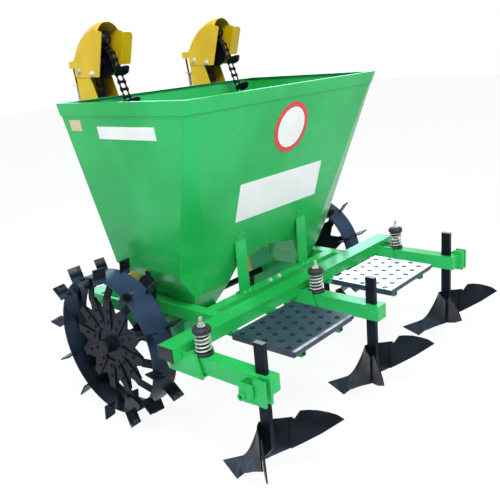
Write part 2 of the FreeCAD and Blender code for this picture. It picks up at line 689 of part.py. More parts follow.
def elevator_tube():
    # Folded shell: closed behind up to the hopper's rim, open above it, with a slot for the chain at its foot.
    wall = dim.tube_wall
    low = dim.tube_low
    knee = dim.tube_knee_z
    opening = dim.tube_open_z
    shell = prism("x", (dim.row_x - dim.tube_half, dim.row_x + dim.tube_half), [
        (tube_rear_y(low), low),
        (tube_front_y(low), low),
        (tube_front_y(knee), knee),
        (dim.tube_crest_y, dim.tube_top),
        (dim.tube_mouth_y, dim.tube_top),
        (dim.tube_lip_y, dim.tube_lip_top),
        (dim.tube_lip_y, dim.tube_lip_z),
        (tube_rear_y(opening), opening),
    ])
    inner = dim.tube_half - wall
    behind = dim.tube_lip_y - 2 * wall
    core = prism("x", (dim.row_x - inner, dim.row_x + inner), [
        (tube_rear_y(low - 1) + wall, low - 1),
        (tube_front_y(low - 1) - wall, low - 1),
        (tube_front_y(knee) - wall, knee),
        (dim.tube_crest_y - wall, dim.tube_top + 1),
        (behind, dim.tube_top + 1),
        (behind, opening),
        (tube_rear_y(opening) + wall, opening),
    ])
    slot = prism("x", (dim.row_x - dim.chain_slot_half, dim.row_x + dim.chain_slot_half), [
        (tube_rear_y(low - 1) - wall, low - 1),
        (tube_rear_y(low - 1) + 2 * wall, low - 1),
        (tube_rear_y(dim.chain_slot_top) + 2 * wall, dim.chain_slot_top),
        (tube_rear_y(dim.chain_slot_top) - wall, dim.chain_slot_top),
    ])
    pair("elevator_tube", cut(shell, core, slot))
    stay_x = (dim.row_x - dim.stay_half, dim.row_x + dim.stay_half)
    lower = prism("x", stay_x, [
        (tube_front_y(dim.stay_low), dim.stay_low),
        (dim.beam_rear, dim.stay_low),
        (dim.beam_rear, dim.stay_top),
        (tube_front_y(dim.stay_top), dim.stay_top),
    ])
    upper = prism("x", stay_x, [
        (front_wall_y(dim.upper_stay_low), dim.upper_stay_low),
        (tube_rear_y(dim.upper_stay_low), dim.upper_stay_low),
        (tube_rear_y(dim.upper_stay_top), dim.upper_stay_top),
        (front_wall_y(dim.upper_stay_top), dim.upper_stay_top),
    ])
    twins("elevator_stays", fuse(lower, upper))


def crown_section(near, far, y, z, up_y, up_z):
    # One section of the arched cover: an arc across the hood, with its foot a little inside the side plates.
    thickness = dim.hood_sheet.value
    dip = 2 * thickness
    foot_y = y - dip * up_y
    foot_z = z - dip * up_z
    arcs = []
    for inset in (0, thickness):
        crown = Vector((near + far) / 2, y, z) + Vector(0, up_y, up_z) * (dim.hood_crown.value - inset)
        arcs.append((Vector(near + inset, foot_y, foot_z), crown, Vector(far - inset, foot_y, foot_z)))
    outer, inner = arcs
    return Part.Wire([
        Part.Arc(*outer).toShape(),
        Part.makeLine(outer[2], inner[2]),
        Part.Arc(*reversed(inner)).toShape(),
        Part.makeLine(inner[0], outer[0]),
    ])


def hood_flange(far):
    # The right-hand plate's rear edge turned outwards, with a rounded upper corner.
    low = Vector(0, dim.hood_rear.value, dim.hood_rear_z.value)
    high = Vector(0, dim.hood_peak.value, dim.hood_peak_z.value)
    rise = (high - low) / (high.z - low.z)
    thickness = dim.hood_sheet.value
    corner = dim.flange_corner.value
    outside = far + dim.flange_reach.value
    top = dim.flange_top.value

    def spot(x, z):
        return low + rise * (z - low.z) + Vector(x, 0, 0)

    bend = corner * (1 - math.sqrt(0.5))
    outline = Part.Wire([
        Part.makeLine(spot(far - thickness, dim.flange_low.value), spot(outside, dim.flange_low.value)),
        Part.makeLine(spot(outside, dim.flange_low.value), spot(outside, top - corner)),
        Part.Arc(spot(outside, top - corner), spot(outside - bend, top - bend),
                 spot(outside - corner, top)).toShape(),
        Part.makeLine(spot(outside - corner, top), spot(far - thickness, top)),
        Part.makeLine(spot(far - thickness, top), spot(far - thickness, dim.flange_low.value)),
    ])
    forwards = Vector(0, rise.z, -rise.y).normalize()
    return solid(Part.Face(outline).extrude(forwards * thickness))


def elevator_hood():
    # Side plates with an arched cover, open to the rear, and the tensioner's box in front; both are alike.
    thin = dim.hood_sheet
    upper = [(385, 1440), (366, 1458, dim.hood_arc), (206, 1553), (dim.hood_peak, dim.hood_peak_z)]
    behind = dim.tube_crest_y - 2 * dim.tube_wall
    over = dim.tube_top + 1
    outside_tube = [(dim.hood_rear, dim.hood_rear_z), (387, 1372), *upper]
    inside_tube = [(dim.hood_rear, dim.hood_rear_z), (behind, 1372), (behind, over), (386, over), *upper]
    for label, centre in (("right", dim.row_x), ("left", -dim.row_x)):
        near = centre - dim.hood_near
        far = centre + dim.hood_far
        hole = rod("x", sprocket_spots()[1], (far - thin, far), dim.shaft_radius + dim.axle_fit)
        plates = [prism("x", (near, near + thin), outside_tube),
                  cut(prism("x", (far - thin, far), inside_tube), hole)]
        stations = [(190, 1549, 0, 1)]
        for angle in (85, 72, 59, 46, 34):
            up_y = math.cos(math.radians(angle))
            up_z = math.sin(math.radians(angle))
            radius = dim.hood_arc.value
            foot_y = dim.hood_arc_y.value + radius * up_y
            foot_z = dim.hood_arc_z.value + radius * up_z
            stations.append((foot_y, foot_z, up_y, up_z))
        stations.append((383, 1420, 0.99, 0.14))
        sections = [crown_section(near.value, far.value, *station) for station in stations]
        cover = solid(Part.makeLoft(sections, True, False))
        bracket = tube("z", (centre - dim.tensioner_half, centre + dim.tensioner_half),
                       (dim.tensioner_rear, dim.tensioner_front), (dim.tensioner_low, dim.tensioner_top),
                       dim.tensioner_sheet)
        node("elevator_hood_" + label, fuse(*plates, cover, hood_flange(far.value), bracket))


def sprocket_spots():
    # The chain's three wheels: the driven one low down, the one on top and the idler in the hopper's foot.
    return [(dim.low_sprocket_y, dim.low_sprocket_z), (dim.top_sprocket_y, dim.top_sprocket_z),
            (dim.idler_y, dim.idler_z)]


def cup_chain():
    # The chain is one fixed loop with its cups standing out of it at even steps.
    lower, top, idler = sprocket_spots()
    wheels = [lower, top, idler]
    span = (dim.row_x - dim.loop_half, dim.row_x + dim.loop_half)
    loop = prism("x", span, belt(wheels, dim.loop_outer), belt(wheels, dim.loop_inner))
    radius = dim.loop_outer.value
    centres = [Vector(0, y.value, z.value) for y, z in wheels]
    runs = [after - before for before, after in zip(centres, centres[1:] + centres[:1])]
    stretches = []
    for number, centre in enumerate(centres):
        ahead = Vector(runs[number]).normalize()
        before = Vector(runs[number - 1]).normalize()
        turn = math.acos(before.dot(ahead))
        stretches.append((centre, before, turn * radius, True))
        stretches.append((centre, ahead, runs[number].Length, False))
    step = sum(stretch[2] for stretch in stretches) / dim.cup_count.value
    way = step * dim.cup_phase.value
    cups = []
    for centre, heading, length, is_round in stretches:
        while way < length:
            out = Vector(0, heading.z, -heading.y)
            spot = centre + out * radius + heading * way
            if is_round:
                angle = way / radius
                out = out * math.cos(angle) + heading * math.sin(angle)
                spot = centre + out * radius
            cups.append(cup(spot, out))
            way += step
        way -= length
    pair("cup_chain", fuse(loop, solid(Part.Compound(cups))))


def cup(spot, out):
    # One cup: a tapered block from the chain outwards.
    ahead = Vector(0, -out.z, out.y)
    base = spot - out * dim.cup_lap.value + Vector(dim.row_x.value, 0, 0)
    reach = out * (dim.cup_reach.value + dim.cup_lap.value)
    root_half = ahead * dim.cup_root_half.value
    tip_half = ahead * dim.cup_tip_half.value
    corners = [base - root_half, base + reach - tip_half, base + reach + tip_half, base + root_half]
    half = Vector(dim.cup_half.value, 0, 0)
    corners = [corner - half for corner in corners]
    return Part.Face(Part.makePolygon(corners + corners[:1])).extrude(half * 2)


def sprockets():
    # Each elevator's three sprockets, the upper and idler shafts and the lower cross shaft.
    low, top, idler = sprocket_spots()
    span = (dim.row_x - dim.sprocket_half, dim.row_x + dim.sprocket_half)
    upper = rod("x", top, span, dim.sprocket_radius)
    shaft = rod("x", top, (dim.row_x - dim.tube_half, dim.row_x + dim.tube_half), dim.shaft_radius)
    twins("top_sprockets", fuse(upper, shaft))
    idle_wheel = rod("x", idler, span, dim.sprocket_radius)
    idle_shaft = rod("x", idler, (dim.row_x, dim.idler_end), dim.idler_shaft)
    twins("chain_idlers", fuse(idle_wheel, idle_shaft))
    lower = rod("x", low, span, dim.sprocket_radius)
    node("drive_shaft", fuse(rod("x", low, both(dim.shaft_half), dim.shaft_radius), lower, mirror(lower)))


def boot():
    # Trough round the lower sprocket: two side plates up to the funnel and a plate behind and below.
    half = dim.boot_half
    thin = dim.boot_sheet
    centre_y, centre_z = sprocket_spots()[0]
    radius = dim.boot_radius
    rear = centre_y - radius
    front = tube_rear_y(dim.tube_low)
    side = [
        (dim.boot_rear, dim.boot_step),
        (rear, centre_z, radius),
        (centre_y, centre_z - radius),
        (front, centre_z - radius),
        (front, dim.tube_low),
        (tube_rear_y(dim.boot_seat), dim.boot_seat),
        (dim.boot_seat_y, dim.boot_seat),
        (dim.boot_neck_y, dim.boot_neck_z),
        (dim.boot_mouth_y, dim.boot_top - 1),
        (dim.boot_rear, dim.boot_top - 1),
    ]
    parts = []
    for low in (dim.row_x - half, dim.row_x + half - thin):
        hole = rod("x", (centre_y, centre_z), (low, low + thin), dim.shaft_radius + dim.axle_fit)
        parts.append(cut(prism("x", (low, low + thin), side), hole))
    parts.append(prism("x", (dim.row_x - half, dim.row_x + half), [
        (dim.boot_rear, dim.boot_step),
        (rear, centre_z, radius),
        (centre_y, centre_z - radius),
        (centre_y, centre_z - radius + thin, thin - radius),
        (rear + thin, centre_z),
        (dim.boot_rear + thin, dim.boot_step + thin),
        (dim.boot_rear + thin, dim.boot_top - 1),
        (dim.boot_rear, dim.boot_top - 1),
    ]))
    pair("elevator_boot", fuse(*parts))


def opener():
    # Furrow opener: a bow open behind, narrower towards the ground.
    x = dim.row_x
    thin = dim.boot_sheet
    outers = []
    inners = []
    for half, shoulder, nose in ((dim.opener_low_half, dim.opener_low_shoulder, dim.opener_low_nose),
                                 (dim.opener_top_half, dim.opener_top_shoulder, dim.opener_top_nose)):
        outers.append([(x - half, dim.opener_rear), (x, dim.opener_rear), (x + half, dim.opener_rear),
                       (x + half, shoulder), (x, nose), (x - half, shoulder)])
        inners.append([(x - half + thin, dim.opener_rear - 1), (x, dim.opener_rear - 1),
                       (x + half - thin, dim.opener_rear - 1), (x + half - thin, shoulder), (x, nose - 5),
                       (x - half + thin, shoulder)])
    pair("furrow_opener", loft((dim.opener_low, dim.tube_low), outers, inners))


# Ridging gear


def arm(x, with_ring):
    # Square tube with its front tongue, a slot for the shank and, on the outer rows, the clamp ring.
    reach = dim.arm_half
    body = tube("y", (x - reach, x + reach), (dim.arm_rear, dim.arm_front), (dim.arm_low, dim.arm_top),
                dim.arm_wall)
    tongue = box((x - dim.tongue_half, x + dim.tongue_half), (dim.arm_front - 30, dim.pivot_y + 22),
                 (dim.tongue_low + 10, dim.tongue_top))
    end = box((x - reach, x + reach), (dim.arm_rear - 6, dim.arm_rear), (dim.arm_low, dim.arm_top))
    parts = [body, tongue, end]
    if with_ring:
        side = x + reach
        outside = side + dim.ring_width
        parts.append(tube("z", (side, outside), (dim.shank_rear, dim.ring_front), (dim.ring_low, dim.ring_top),
                          dim.ring_wall))
        parts.append(prism("x", (outside, outside + dim.ring_wall), [
            (dim.shank_rear - 5, dim.plate_low + 25),
            (dim.shank_rear + 25, dim.plate_low, 60),
            (dim.boss_y - 10, dim.plate_low, 40),
            (dim.boss_y + 15, dim.plate_low + 22),
            (dim.boss_y + 12, dim.boss_z + 25),
            (dim.ring_front, dim.ring_top),
            (dim.shank_rear - 5, dim.ring_top),
        ]))
        parts.append(pipe("x", (dim.boss_y, dim.boss_z), (outside, outside + dim.screw_length),
                          dim.screw_boss, dim.screw_bore))
        for strip in (side + dim.clamp_inset, side + dim.clamp_inset + dim.clamp_pitch):
            parts.append(box((strip, strip + dim.clamp_strip), (dim.clamp_rear, dim.shank_rear),
                             (dim.clamp_low, dim.clamp_top)))
    gap = dim.slot_gap
    slot = box((x - dim.shank_half - gap, x + dim.shank_half + gap),
               (dim.shank_rear - gap, dim.shank_front + gap), (dim.arm_low, dim.arm_top))
    rod_hole = rod("z", (x, dim.spring_y), (dim.arm_low, dim.arm_top), dim.rod_radius + gap)
    pivot_hole = rod("x", (dim.pivot_y, dim.pivot_z), (x - dim.tongue_half, x + dim.tongue_half),
                     dim.pivot_radius + dim.axle_fit)
    return cut(fuse(*parts), slot, rod_hole, pivot_hole)


def cheeks(x):
    # Two bracket plates under the toolbar with the pivot bolt and the cross plate that holds the spring rod.
    outline = [
        (dim.cheek_rear, dim.cheek_low),
        (dim.cheek_front - 12, dim.cheek_low),
        (dim.cheek_front, dim.pivot_z - 2),
        (dim.toolbar_front, dim.toolbar_low),
        (dim.toolbar_rear, dim.toolbar_low),
        (dim.toolbar_rear, dim.arm_top + 8),
        (dim.cheek_rear + 26, dim.arm_top + 13),
    ]
    parts = [prism("x", (x + low, x + low + dim.cheek_outer - dim.cheek_inner), outline)
             for low in (dim.cheek_inner, -dim.cheek_outer)]
    parts.append(rod("x", (dim.pivot_y, dim.pivot_z), (x - dim.cheek_outer - 12, x + dim.cheek_outer + 12),
                     dim.pivot_radius))
    parts.append(box((x - dim.cheek_inner, x + dim.cheek_inner), (dim.spring_y - 18, dim.spring_y + 18),
                     (dim.cheek_low, dim.cheek_low + 8)))
    return fuse(*parts)


def spring(x):
    # Coil, black cup and cap, and threaded rod of one spring.
    section = Part.Circle(Vector(dim.coil_radius.value, 0, 0), Vector(0, 1, 0), dim.wire_radius.value)
    wire = Part.Wire(section.toShape())
    pitch = (dim.spring_top.value - dim.spring_low.value - 2 * dim.wire_radius.value) / dim.coil_turns.value
    helix = Part.makeHelix(pitch, pitch * dim.coil_turns.value, dim.coil_radius.value)
    coil = Part.Wire(helix).makePipeShell([wire], True, True)
    coil.translate(Vector(x.value, dim.spring_y.value, dim.spring_low.value + dim.wire_radius.value))
    spot = (x, dim.spring_y)
    core = dim.coil_radius - dim.wire_radius - 1
    bore = dim.rod_radius + dim.axle_fit
    base = fuse(rod("z", spot, (dim.arm_top, dim.spring_low), dim.cap_radius),
                rod("z", spot, (dim.spring_low, dim.spring_low + 26), core))
    cap = fuse(rod("z", spot, (dim.spring_top, dim.spring_top + 16), dim.cap_radius),
               rod("z", spot, (dim.spring_top - 26, dim.spring_top), core))
    caps = cut(fuse(base, cap), rod("z", spot, (dim.arm_top, dim.spring_top + 16), bore))
    thread = fuse(rod("z", spot, (dim.cheek_low + 8, dim.rod_top), dim.rod_radius),
                  rod("z", spot, (dim.spring_top + 16, dim.spring_top + 28), 15))
    return solid(coil), caps, thread


def shank(label, x):
    y_low, y_high = dim.shank_rear, dim.shank_front
    bar = prism("x", (x - dim.shank_half, x + dim.shank_half), [
        (y_high, dim.shank_tip),
        (y_high, dim.shank_top),
        (y_low, dim.shank_top),
        (y_low, dim.shank_slope),
    ])
    node(label, bar)


def mould():
    # Right half of the ridging body: a curved board swept back from the nose, and the flat wing behind it.
    grid = [
        [(0, -600, 24), (32, -672, 16), (56, -750, 62), (88, -833, 118)],
        [(0, -667, 63), (34, -722, 66), (61, -783, 100), (88, -833, 152)],
        [(0, -712, 125), (33, -758, 130), (62, -803, 162), (88, -833, 192)],
        [(0, -757, 230), (29, -774, 230), (58, -803, 230), (88, -833, 230)],
    ]
    surface = Part.BSplineSurface()
    surface.interpolate([[Vector(*point) for point in row] for row in grid])
    board = surface.toShape().extrude(Vector(-3, -dim.mould_sheet.value, 0))
    outline = [(74, 113), (99, 127), (151, 159), (207, 203), (190, 223), (170, 236), (145, 248), (122, 254),
               (102, 255), (88, 228), (74, 228)]
    line = dim.wing_line.value - dim.wing_behind.value
    corners = [Vector(across, line - across, up) for across, up in outline]
    depth = dim.mould_sheet.value / math.sqrt(2)
    wing = Part.Face(Part.makePolygon(corners + corners[:1])).extrude(Vector(-depth, -depth, 0))
    return board, wing


def ridging_body(label, x):
    # Share, curved boards and wings, mirrored about the row, with the frog plate that the shank is bolted to.
    tip = Vector(0, dim.share_tip_y.value, 0)
    ridge = Vector(0, dim.share_ridge_y.value, dim.share_ridge_z.value)
    barbs = [Vector(side * dim.share_barb_x.value, dim.share_barb_y.value, 0) for side in (-1, 1)]
    faces = [(tip, barbs[0], ridge), (tip, ridge, barbs[1]), (tip, barbs[1], barbs[0]),
             (barbs[0], barbs[1], ridge)]
    share = Part.Solid(Part.Shell([Part.Face(Part.makePolygon([*face, face[0]])) for face in faces]))
    board, wing = mould()
    frog_outline = [(-775, 105), (-715, 105), (-735, 150), (-752, 195), (-775, 215)]
    corners = [Vector(-10, y, z) for y, z in frog_outline]
    frog = Part.Face(Part.makePolygon(corners + corners[:1])).extrude(Vector(20, 0, 0))
    middle = Vector(1, 0, 0)
    bodies = share.multiFuse([board, board.mirror(Vector(), middle), frog])
    shape = Part.Compound([*bodies.Solids, wing, wing.mirror(Vector(), middle)])
    shape.translate(Vector(x.value, 0, 0))
    node(label, solid(shape))


def ridging_gear():
    spring_sets = []
    brackets = []
    pair("arm", arm(dim.row_spacing, True))
    node("arm_middle", arm(size(0), False))
    for label, x in (("left", -dim.row_spacing), ("middle", size(0)), ("right", dim.row_spacing)):
        shank("shank_" + label, x)
        ridging_body("ridging_body_" + label, x)
        spring_sets.append(spring(x))
        brackets.append(cheeks(x))
    node("arm_brackets", fuse(*brackets))
    for label, items in zip(("spring_coils", "spring_caps", "spring_rods"), zip(*spring_sets)):
        node(label, fuse(*items))


# Footboards


def footboard():
    # Folded sheet with a rolled rear edge, on two bars that hang under the toolbar.
    x = (dim.board_inner, dim.board_outer)
    y = (dim.board_rear, dim.board_front)
    top = dim.board_top
    low = top - dim.board_fold
    thin = dim.board_sheet
    board = box(x, y, (low, top))
    hollow = box((dim.board_inner + thin, dim.board_outer - thin),
                 (dim.board_rear + thin, dim.board_front - thin),
                 (low, top - thin))
    roll = rod("x", (dim.board_rear, top - dim.board_roll), x, dim.board_roll)
    pair("footboard", fuse(cut(board, hollow), roll))
    bars = []
    for start in (dim.bar_first, dim.bar_second):
        bars.append(tube("y", (start, start + dim.bar_width), (dim.board_rear + 10, dim.toolbar_front),
                         (dim.bar_low, dim.toolbar_low), dim.board_sheet))
    twins("footboard_bars", fuse(*bars))


frame()
axle_bracket()
stub_axle()
drive_guard()
wheel()
hopper()
funnel()
supports()
hitch()
elevator_tube()
elevator_hood()
cup_chain()
sprockets()
boot()
opener()
ridging_gear()
footboard()
doc.recompute()

for item in doc.Objects:
    if {"Invalid", "Error"} & set(item.State):
        raise RuntimeError(f"{item.Name} ({item.Label}) failed: {item.State}")
for label, item in nodes.items():
    if item.Shape.isNull() or not item.Shape.isValid():
        raise RuntimeError(f"{label} has no valid shape")

os.makedirs("parts", exist_ok=True)
whole_box = FreeCAD.BoundBox()
for label, item in nodes.items():
    for point in item.Shape.tessellate(1)[0]:
        whole_box.add(point)
print("whole machine:", whole_box)
for label, item in nodes.items():
    item.Shape.exportStep(f"parts/{label}.step")
    bounds = item.Shape.BoundBox
    print(f"{label}: {len(item.Shape.Solids)} solids, {item.Shape.Volume / 1000:.0f} cm3,"
          f" x {bounds.XMin:.1f} {bounds.XMax:.1f}, y {bounds.YMin:.1f} {bounds.YMax:.1f},"
          f" z {bounds.ZMin:.1f} {bounds.ZMax:.1f}")
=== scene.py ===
import math

import bmesh
import bpy
import numpy as np
from mathutils import Matrix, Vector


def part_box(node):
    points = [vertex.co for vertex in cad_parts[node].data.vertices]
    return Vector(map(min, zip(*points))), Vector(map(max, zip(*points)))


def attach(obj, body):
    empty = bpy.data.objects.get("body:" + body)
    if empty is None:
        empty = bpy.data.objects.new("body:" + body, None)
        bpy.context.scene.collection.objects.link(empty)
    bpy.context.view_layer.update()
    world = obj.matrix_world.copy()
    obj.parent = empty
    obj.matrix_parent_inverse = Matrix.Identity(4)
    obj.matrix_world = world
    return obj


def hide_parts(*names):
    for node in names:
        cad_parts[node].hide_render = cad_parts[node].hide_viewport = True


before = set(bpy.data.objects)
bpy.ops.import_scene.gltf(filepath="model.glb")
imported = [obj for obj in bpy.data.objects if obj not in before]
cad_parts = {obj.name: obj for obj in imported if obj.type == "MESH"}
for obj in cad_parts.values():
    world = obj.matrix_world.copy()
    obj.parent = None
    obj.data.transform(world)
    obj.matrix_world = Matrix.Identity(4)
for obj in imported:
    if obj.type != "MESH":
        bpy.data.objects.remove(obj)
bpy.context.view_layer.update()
print("frame loaded:", len(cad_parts), "nodes")

scene = bpy.context.scene
hubLow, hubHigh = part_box("wheel_hub_left")
axleY = (hubLow[1] + hubHigh[1]) / 2
axleZ = (hubLow[2] + hubHigh[2]) / 2
rowSpacing = 675  # mm between the ridging bodies
elevatorX = 337  # mm from the middle to each elevator


# Places are given in millimetres, with y counted from the axle.

def place(x, y, z):
    # metres = millimetres / 1000, moved along y to the axle
    return np.array([x, y, z], float) * 0.001 + np.array([0, axleY, 0])


def placed(path):
    # The same for a whole path of points.
    return path * 0.001 + [0, axleY, 0]


def unit(vector):
    # v / |v|
    vector = np.array(vector, float)
    return vector / np.linalg.norm(vector, axis=-1, keepdims=True)


# Shapes: a shape is its points, in metres, and its faces.

def surface(grid, roundRows=False, roundColumns=False):
    # One quad between each four neighbours of the grid; where it is round, the last row or column
    # meets the first.
    rows, columns = grid.shape[:2]
    row, column = np.meshgrid(np.arange(rows if roundRows else rows - 1),
                              np.arange(columns if roundColumns else columns - 1), indexing="ij")
    rowNext, columnNext = (row + 1) % rows, (column + 1) % columns
    quads = np.stack([row * columns + column, row * columns + columnNext,
                      rowNext * columns + columnNext, rowNext * columns + column], -1)
    return grid.reshape(-1, 3), quads.reshape(-1, 4).tolist()


def turned(profile, sides):
    # x = r(h) cos a, y = r(h) sin a, z = h, where the profile gives r and h in millimetres.
    radius, height = np.array(profile, float).T * 0.001
    angle = np.arange(sides) * 2 * np.pi / sides
    grid = np.stack([radius[:, None] * np.cos(angle), radius[:, None] * np.sin(angle),
                     height[:, None] + 0 * angle], -1)
    return surface(grid, roundColumns=True)


def carried(path, outline, lift=(0, 0, 1), closed=False, scale=None):
    # Every point of the path gets the outline, set across it: p + u * side + v * rise, where
    # side = tangent x lift and rise = side x tangent; open ends are closed to their middle point.
    path = np.array(path, float)
    outline = np.array(outline, float) * 0.001
    if closed:
        tangent = unit(np.roll(path, -1, 0) - np.roll(path, 1, 0))
    else:
        tangent = unit(np.gradient(path, axis=0))
    side = unit(np.cross(tangent, np.array(lift, float)))
    rise = np.cross(side, tangent)
    size = np.ones(len(path)) if scale is None else scale
    grid = (path[:, None] + outline[None, :, :1] * side[:, None] * size[:, None, None]
            + outline[None, :, 1:] * rise[:, None] * size[:, None, None])
    if not closed:
        first = np.repeat(grid[:1].mean(1, keepdims=True), len(outline), 1)
        last = np.repeat(grid[-1:].mean(1, keepdims=True), len(outline), 1)
        grid = np.concatenate([first, grid, last])
    return surface(grid, roundRows=closed, roundColumns=True)


def circle(radius, sides):
    # u = r cos a, v = r sin a
    angle = np.arange(sides) * 2 * np.pi / sides
    return np.stack([radius * np.cos(angle), radius * np.sin(angle)], -1)


def roundedRectangle(width, height, corner):
    # Four quarter circles of the corner radius, one at each corner of the inner rectangle.
    quarter = np.linspace(0, np.pi / 2, 5)
    right, top = width / 2 - corner, height / 2 - corner
    corners = [(right, top), (-right, top), (-right, -top), (right, -top)]
    return np.concatenate([np.stack([x + corner * np.cos(quarter + n * np.pi / 2),
                                     y + corner * np.sin(quarter + n * np.pi / 2)], -1)
                           for n, (x, y) in enumerate(corners)])


def slab(outline, depth):
    # The outline, in millimetres, drawn at z = 0 and at z = depth, with walls between.
    outline = np.array(outline, float) * 0.001
    count = len(outline)
    points = np.concatenate([np.column_stack([outline, np.full(count, level)])
                             for level in (0, depth * 0.001)])
    walls = [[n, (n + 1) % count, (n + 1) % count + count, n + count] for n in range(count)]
    return points, [list(range(count))[::-1], list(range(count, 2 * count)), *walls]


def joined(*shapes):
    # All the points in one list; each shape's faces count on from the shapes before it.
    points, faces, start = [], [], 0
    for shapePoints, shapeFaces in shapes:
        points.append(shapePoints)
        faces += [[corner + start for corner in face] for face in shapeFaces]
        start += len(shapePoints)
    return np.concatenate(points), faces


def moved(shape, origin):
    # point = origin + shape's point
    return shape[0] + origin, shape[1]


def framed(shape, origin, across, along, out):
    # point = origin + x * across + y * along + z * out
    axes = np.array([unit(across), unit(along), unit(out)])
    return shape[0] @ axes + origin, shape[1]


def aimed(shape, origin, out, turn=0):
    # Stands a shape that rises along z on the origin, pointing out, after a turn about its own axis.
    out = unit(out)
    helper = np.array([0, 0, 1.0]) if abs(out[2]) < 0.9 else np.array([0, 1.0, 0])
    across = unit(np.cross(helper, out))
    along = np.cross(out, across)
    c, s = math.cos(turn), math.sin(turn)
    return framed(shape, origin, c * across + s * along, c * along - s * across, out)


meshing = {"merge": 2e-6, "sliver": 1e-7, "sharp": 35, "bevelled": 40}  # metres and degrees


def piece(name, shape, finish, body="frame", bevel=0, replaces=()):
    # Makes the mesh, merges what touches, turns its faces outwards and lets it ride on the body;
    # bevel is the width, in millimetres, that its edges are rounded by.
    mesh = bpy.data.meshes.new(name)
    mesh.from_pydata(shape[0].tolist(), [], shape[1])
    work = bmesh.new()
    work.from_mesh(mesh)
    bmesh.ops.remove_doubles(work, verts=work.verts, dist=meshing["merge"])
    bmesh.ops.dissolve_degenerate(work, edges=work.edges, dist=meshing["sliver"])
    bmesh.ops.recalc_face_normals(work, faces=work.faces)
    work.to_mesh(mesh)
    work.free()
    mesh.polygons.foreach_set("use_smooth", [True] * len(mesh.polygons))
    mesh.set_sharp_from_angle(angle=math.radians(meshing["sharp"]))
    mesh.materials.append(finish)
    thing = bpy.data.objects.new(name, mesh)
    scene.collection.objects.link(thing)
    if bevel:
        rounding = thing.modifiers.new("edges", "BEVEL")
        rounding.width = bevel * 0.001
        rounding.segments = 2
        rounding.limit_method = "ANGLE"
        rounding.angle_limit = math.radians(meshing["bevelled"])
    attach(thing, body)
    if replaces:
        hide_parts(*replaces)


# Finishes

class Signal:
    # A value in a finish. Arithmetic on it adds the Math node for that.
    def __init__(self, finish, socket):
        self.finish = finish
        self.socket = socket

    def math(self, operation, other, swapped=False):
        first, second = (other, self) if swapped else (self, other)
        return self.finish.add("ShaderNodeMath", {"operation": operation}, {0: first, 1: second})

    def __add__(self, other):
        return self.math("ADD", other)

    def __sub__(self, other):
        return self.math("SUBTRACT", other)

    def __rsub__(self, other):
        return self.math("SUBTRACT", other, True)

    def __mul__(self, other):
        return self.math("MULTIPLY", other)

    __radd__ = __add__
    __rmul__ = __mul__

    def rise(self, low, high):
        # 0 below low, 1 above high and smooth between.
        return self.finish.add("ShaderNodeMapRange", {"interpolation_type": "SMOOTHSTEP"},
                               {"Value": self, "From Min": low, "From Max": high})


class Finish:
    # A material that is being made: its shader and the object's own coordinates.
    def __init__(self, name, **fixed):
        self.material = bpy.data.materials.new(name)
        self.material.use_nodes = True
        self.tree = self.material.node_tree
        self.shader = self.tree.nodes["Principled BSDF"]
        for socket, value in fixed.items():
            self.shader.inputs[socket.replace("_", " ")].default_value = value
        self.where = self.add("ShaderNodeTexCoord", output="Object")
        self.parts = self.add("ShaderNodeSeparateXYZ", {}, {0: self.where}).socket.node

    def add(self, kind, settings=None, inputs=None, output=0):
        # Any node: its type, its settings, then the values or links of its sockets.
        node = self.tree.nodes.new(kind)
        for name, value in (settings or {}).items():
            setattr(node, name, value)
        for name, value in (inputs or {}).items():
            self.feed(node.inputs[name], value)
        return Signal(self, node.outputs[output])

    def feed(self, socket, value):
        if isinstance(value, Signal):
            self.tree.links.new(value.socket, socket)
        elif isinstance(value, tuple) and len(value) == 3 and socket.type == "RGBA":
            socket.default_value = (*value, 1)
        else:
            socket.default_value = value

    def along(self, axis):
        return Signal(self, self.parts.outputs[axis])

    def noise(self, scale, detail=3, rough=0.5, stretch=(1, 1, 1)):
        # Noise of about this many spots a metre.
        spread = self.add("ShaderNodeMapping", {}, {"Vector": self.where, "Scale": stretch})
        return self.add("ShaderNodeTexNoise", {}, {"Vector": spread, "Scale": scale, "Detail": detail,
                                                  "Roughness": rough})

    def mix(self, factor, low, high):
        return self.add("ShaderNodeMix", {"data_type": "RGBA"}, {0: factor, 6: low, 7: high}, output=2)

    def distance(self, y, z):
        # How far a point is from a line along x.
        flat = self.add("ShaderNodeCombineXYZ", {}, {1: self.along("Y") - y, 2: self.along("Z") - z})
        return self.add("ShaderNodeVectorMath", {"operation": "LENGTH"}, {0: flat}, output=1)

    def bumps(self, *layers, edge=0):
        # Each layer is a height signal, its strength and its depth in metres; edge is the radius, in
        # metres, that edges look rounded by.
        normal = self.add("ShaderNodeBevel", {"samples": 4}, {"Radius": edge}) if edge else None
        for height, strength, depth in layers:
            inputs = {"Height": height, "Strength": strength, "Distance": depth}
            if normal:
                inputs["Normal"] = normal
            normal = self.add("ShaderNodeBump", {}, inputs)
        self.put("Normal", normal)

    def put(self, socket, value):
        self.feed(self.shader.inputs[socket], value)


# In each dictionary the spots are counted per metre, and heights, depths and edges are in metres.

orangePeel = {"spots": 420, "depth": 0.0004}
greenPaint = {"deep": (0.012, 0.345, 0.058), "light": (0.022, 0.430, 0.088), "dust": (0.20, 0.30, 0.17),
              "chip": (0.03, 0.20, 0.06), "shine": 0.22, "tint": (0.15, 0.85, 1.0, 1.0), "coat": 0.12,
              "cloudSpots": 2.6, "dustSpots": 38, "dustHeight": (0.15, 0.85), "dustLow": 0.10,
              "dustAll": 0.02, "scratchSpots": 9, "scratched": 0.12, "dentSpots": 3.2, "dentDepth": 0.012,
              "peel": 0.06, "edge": 0.0022}


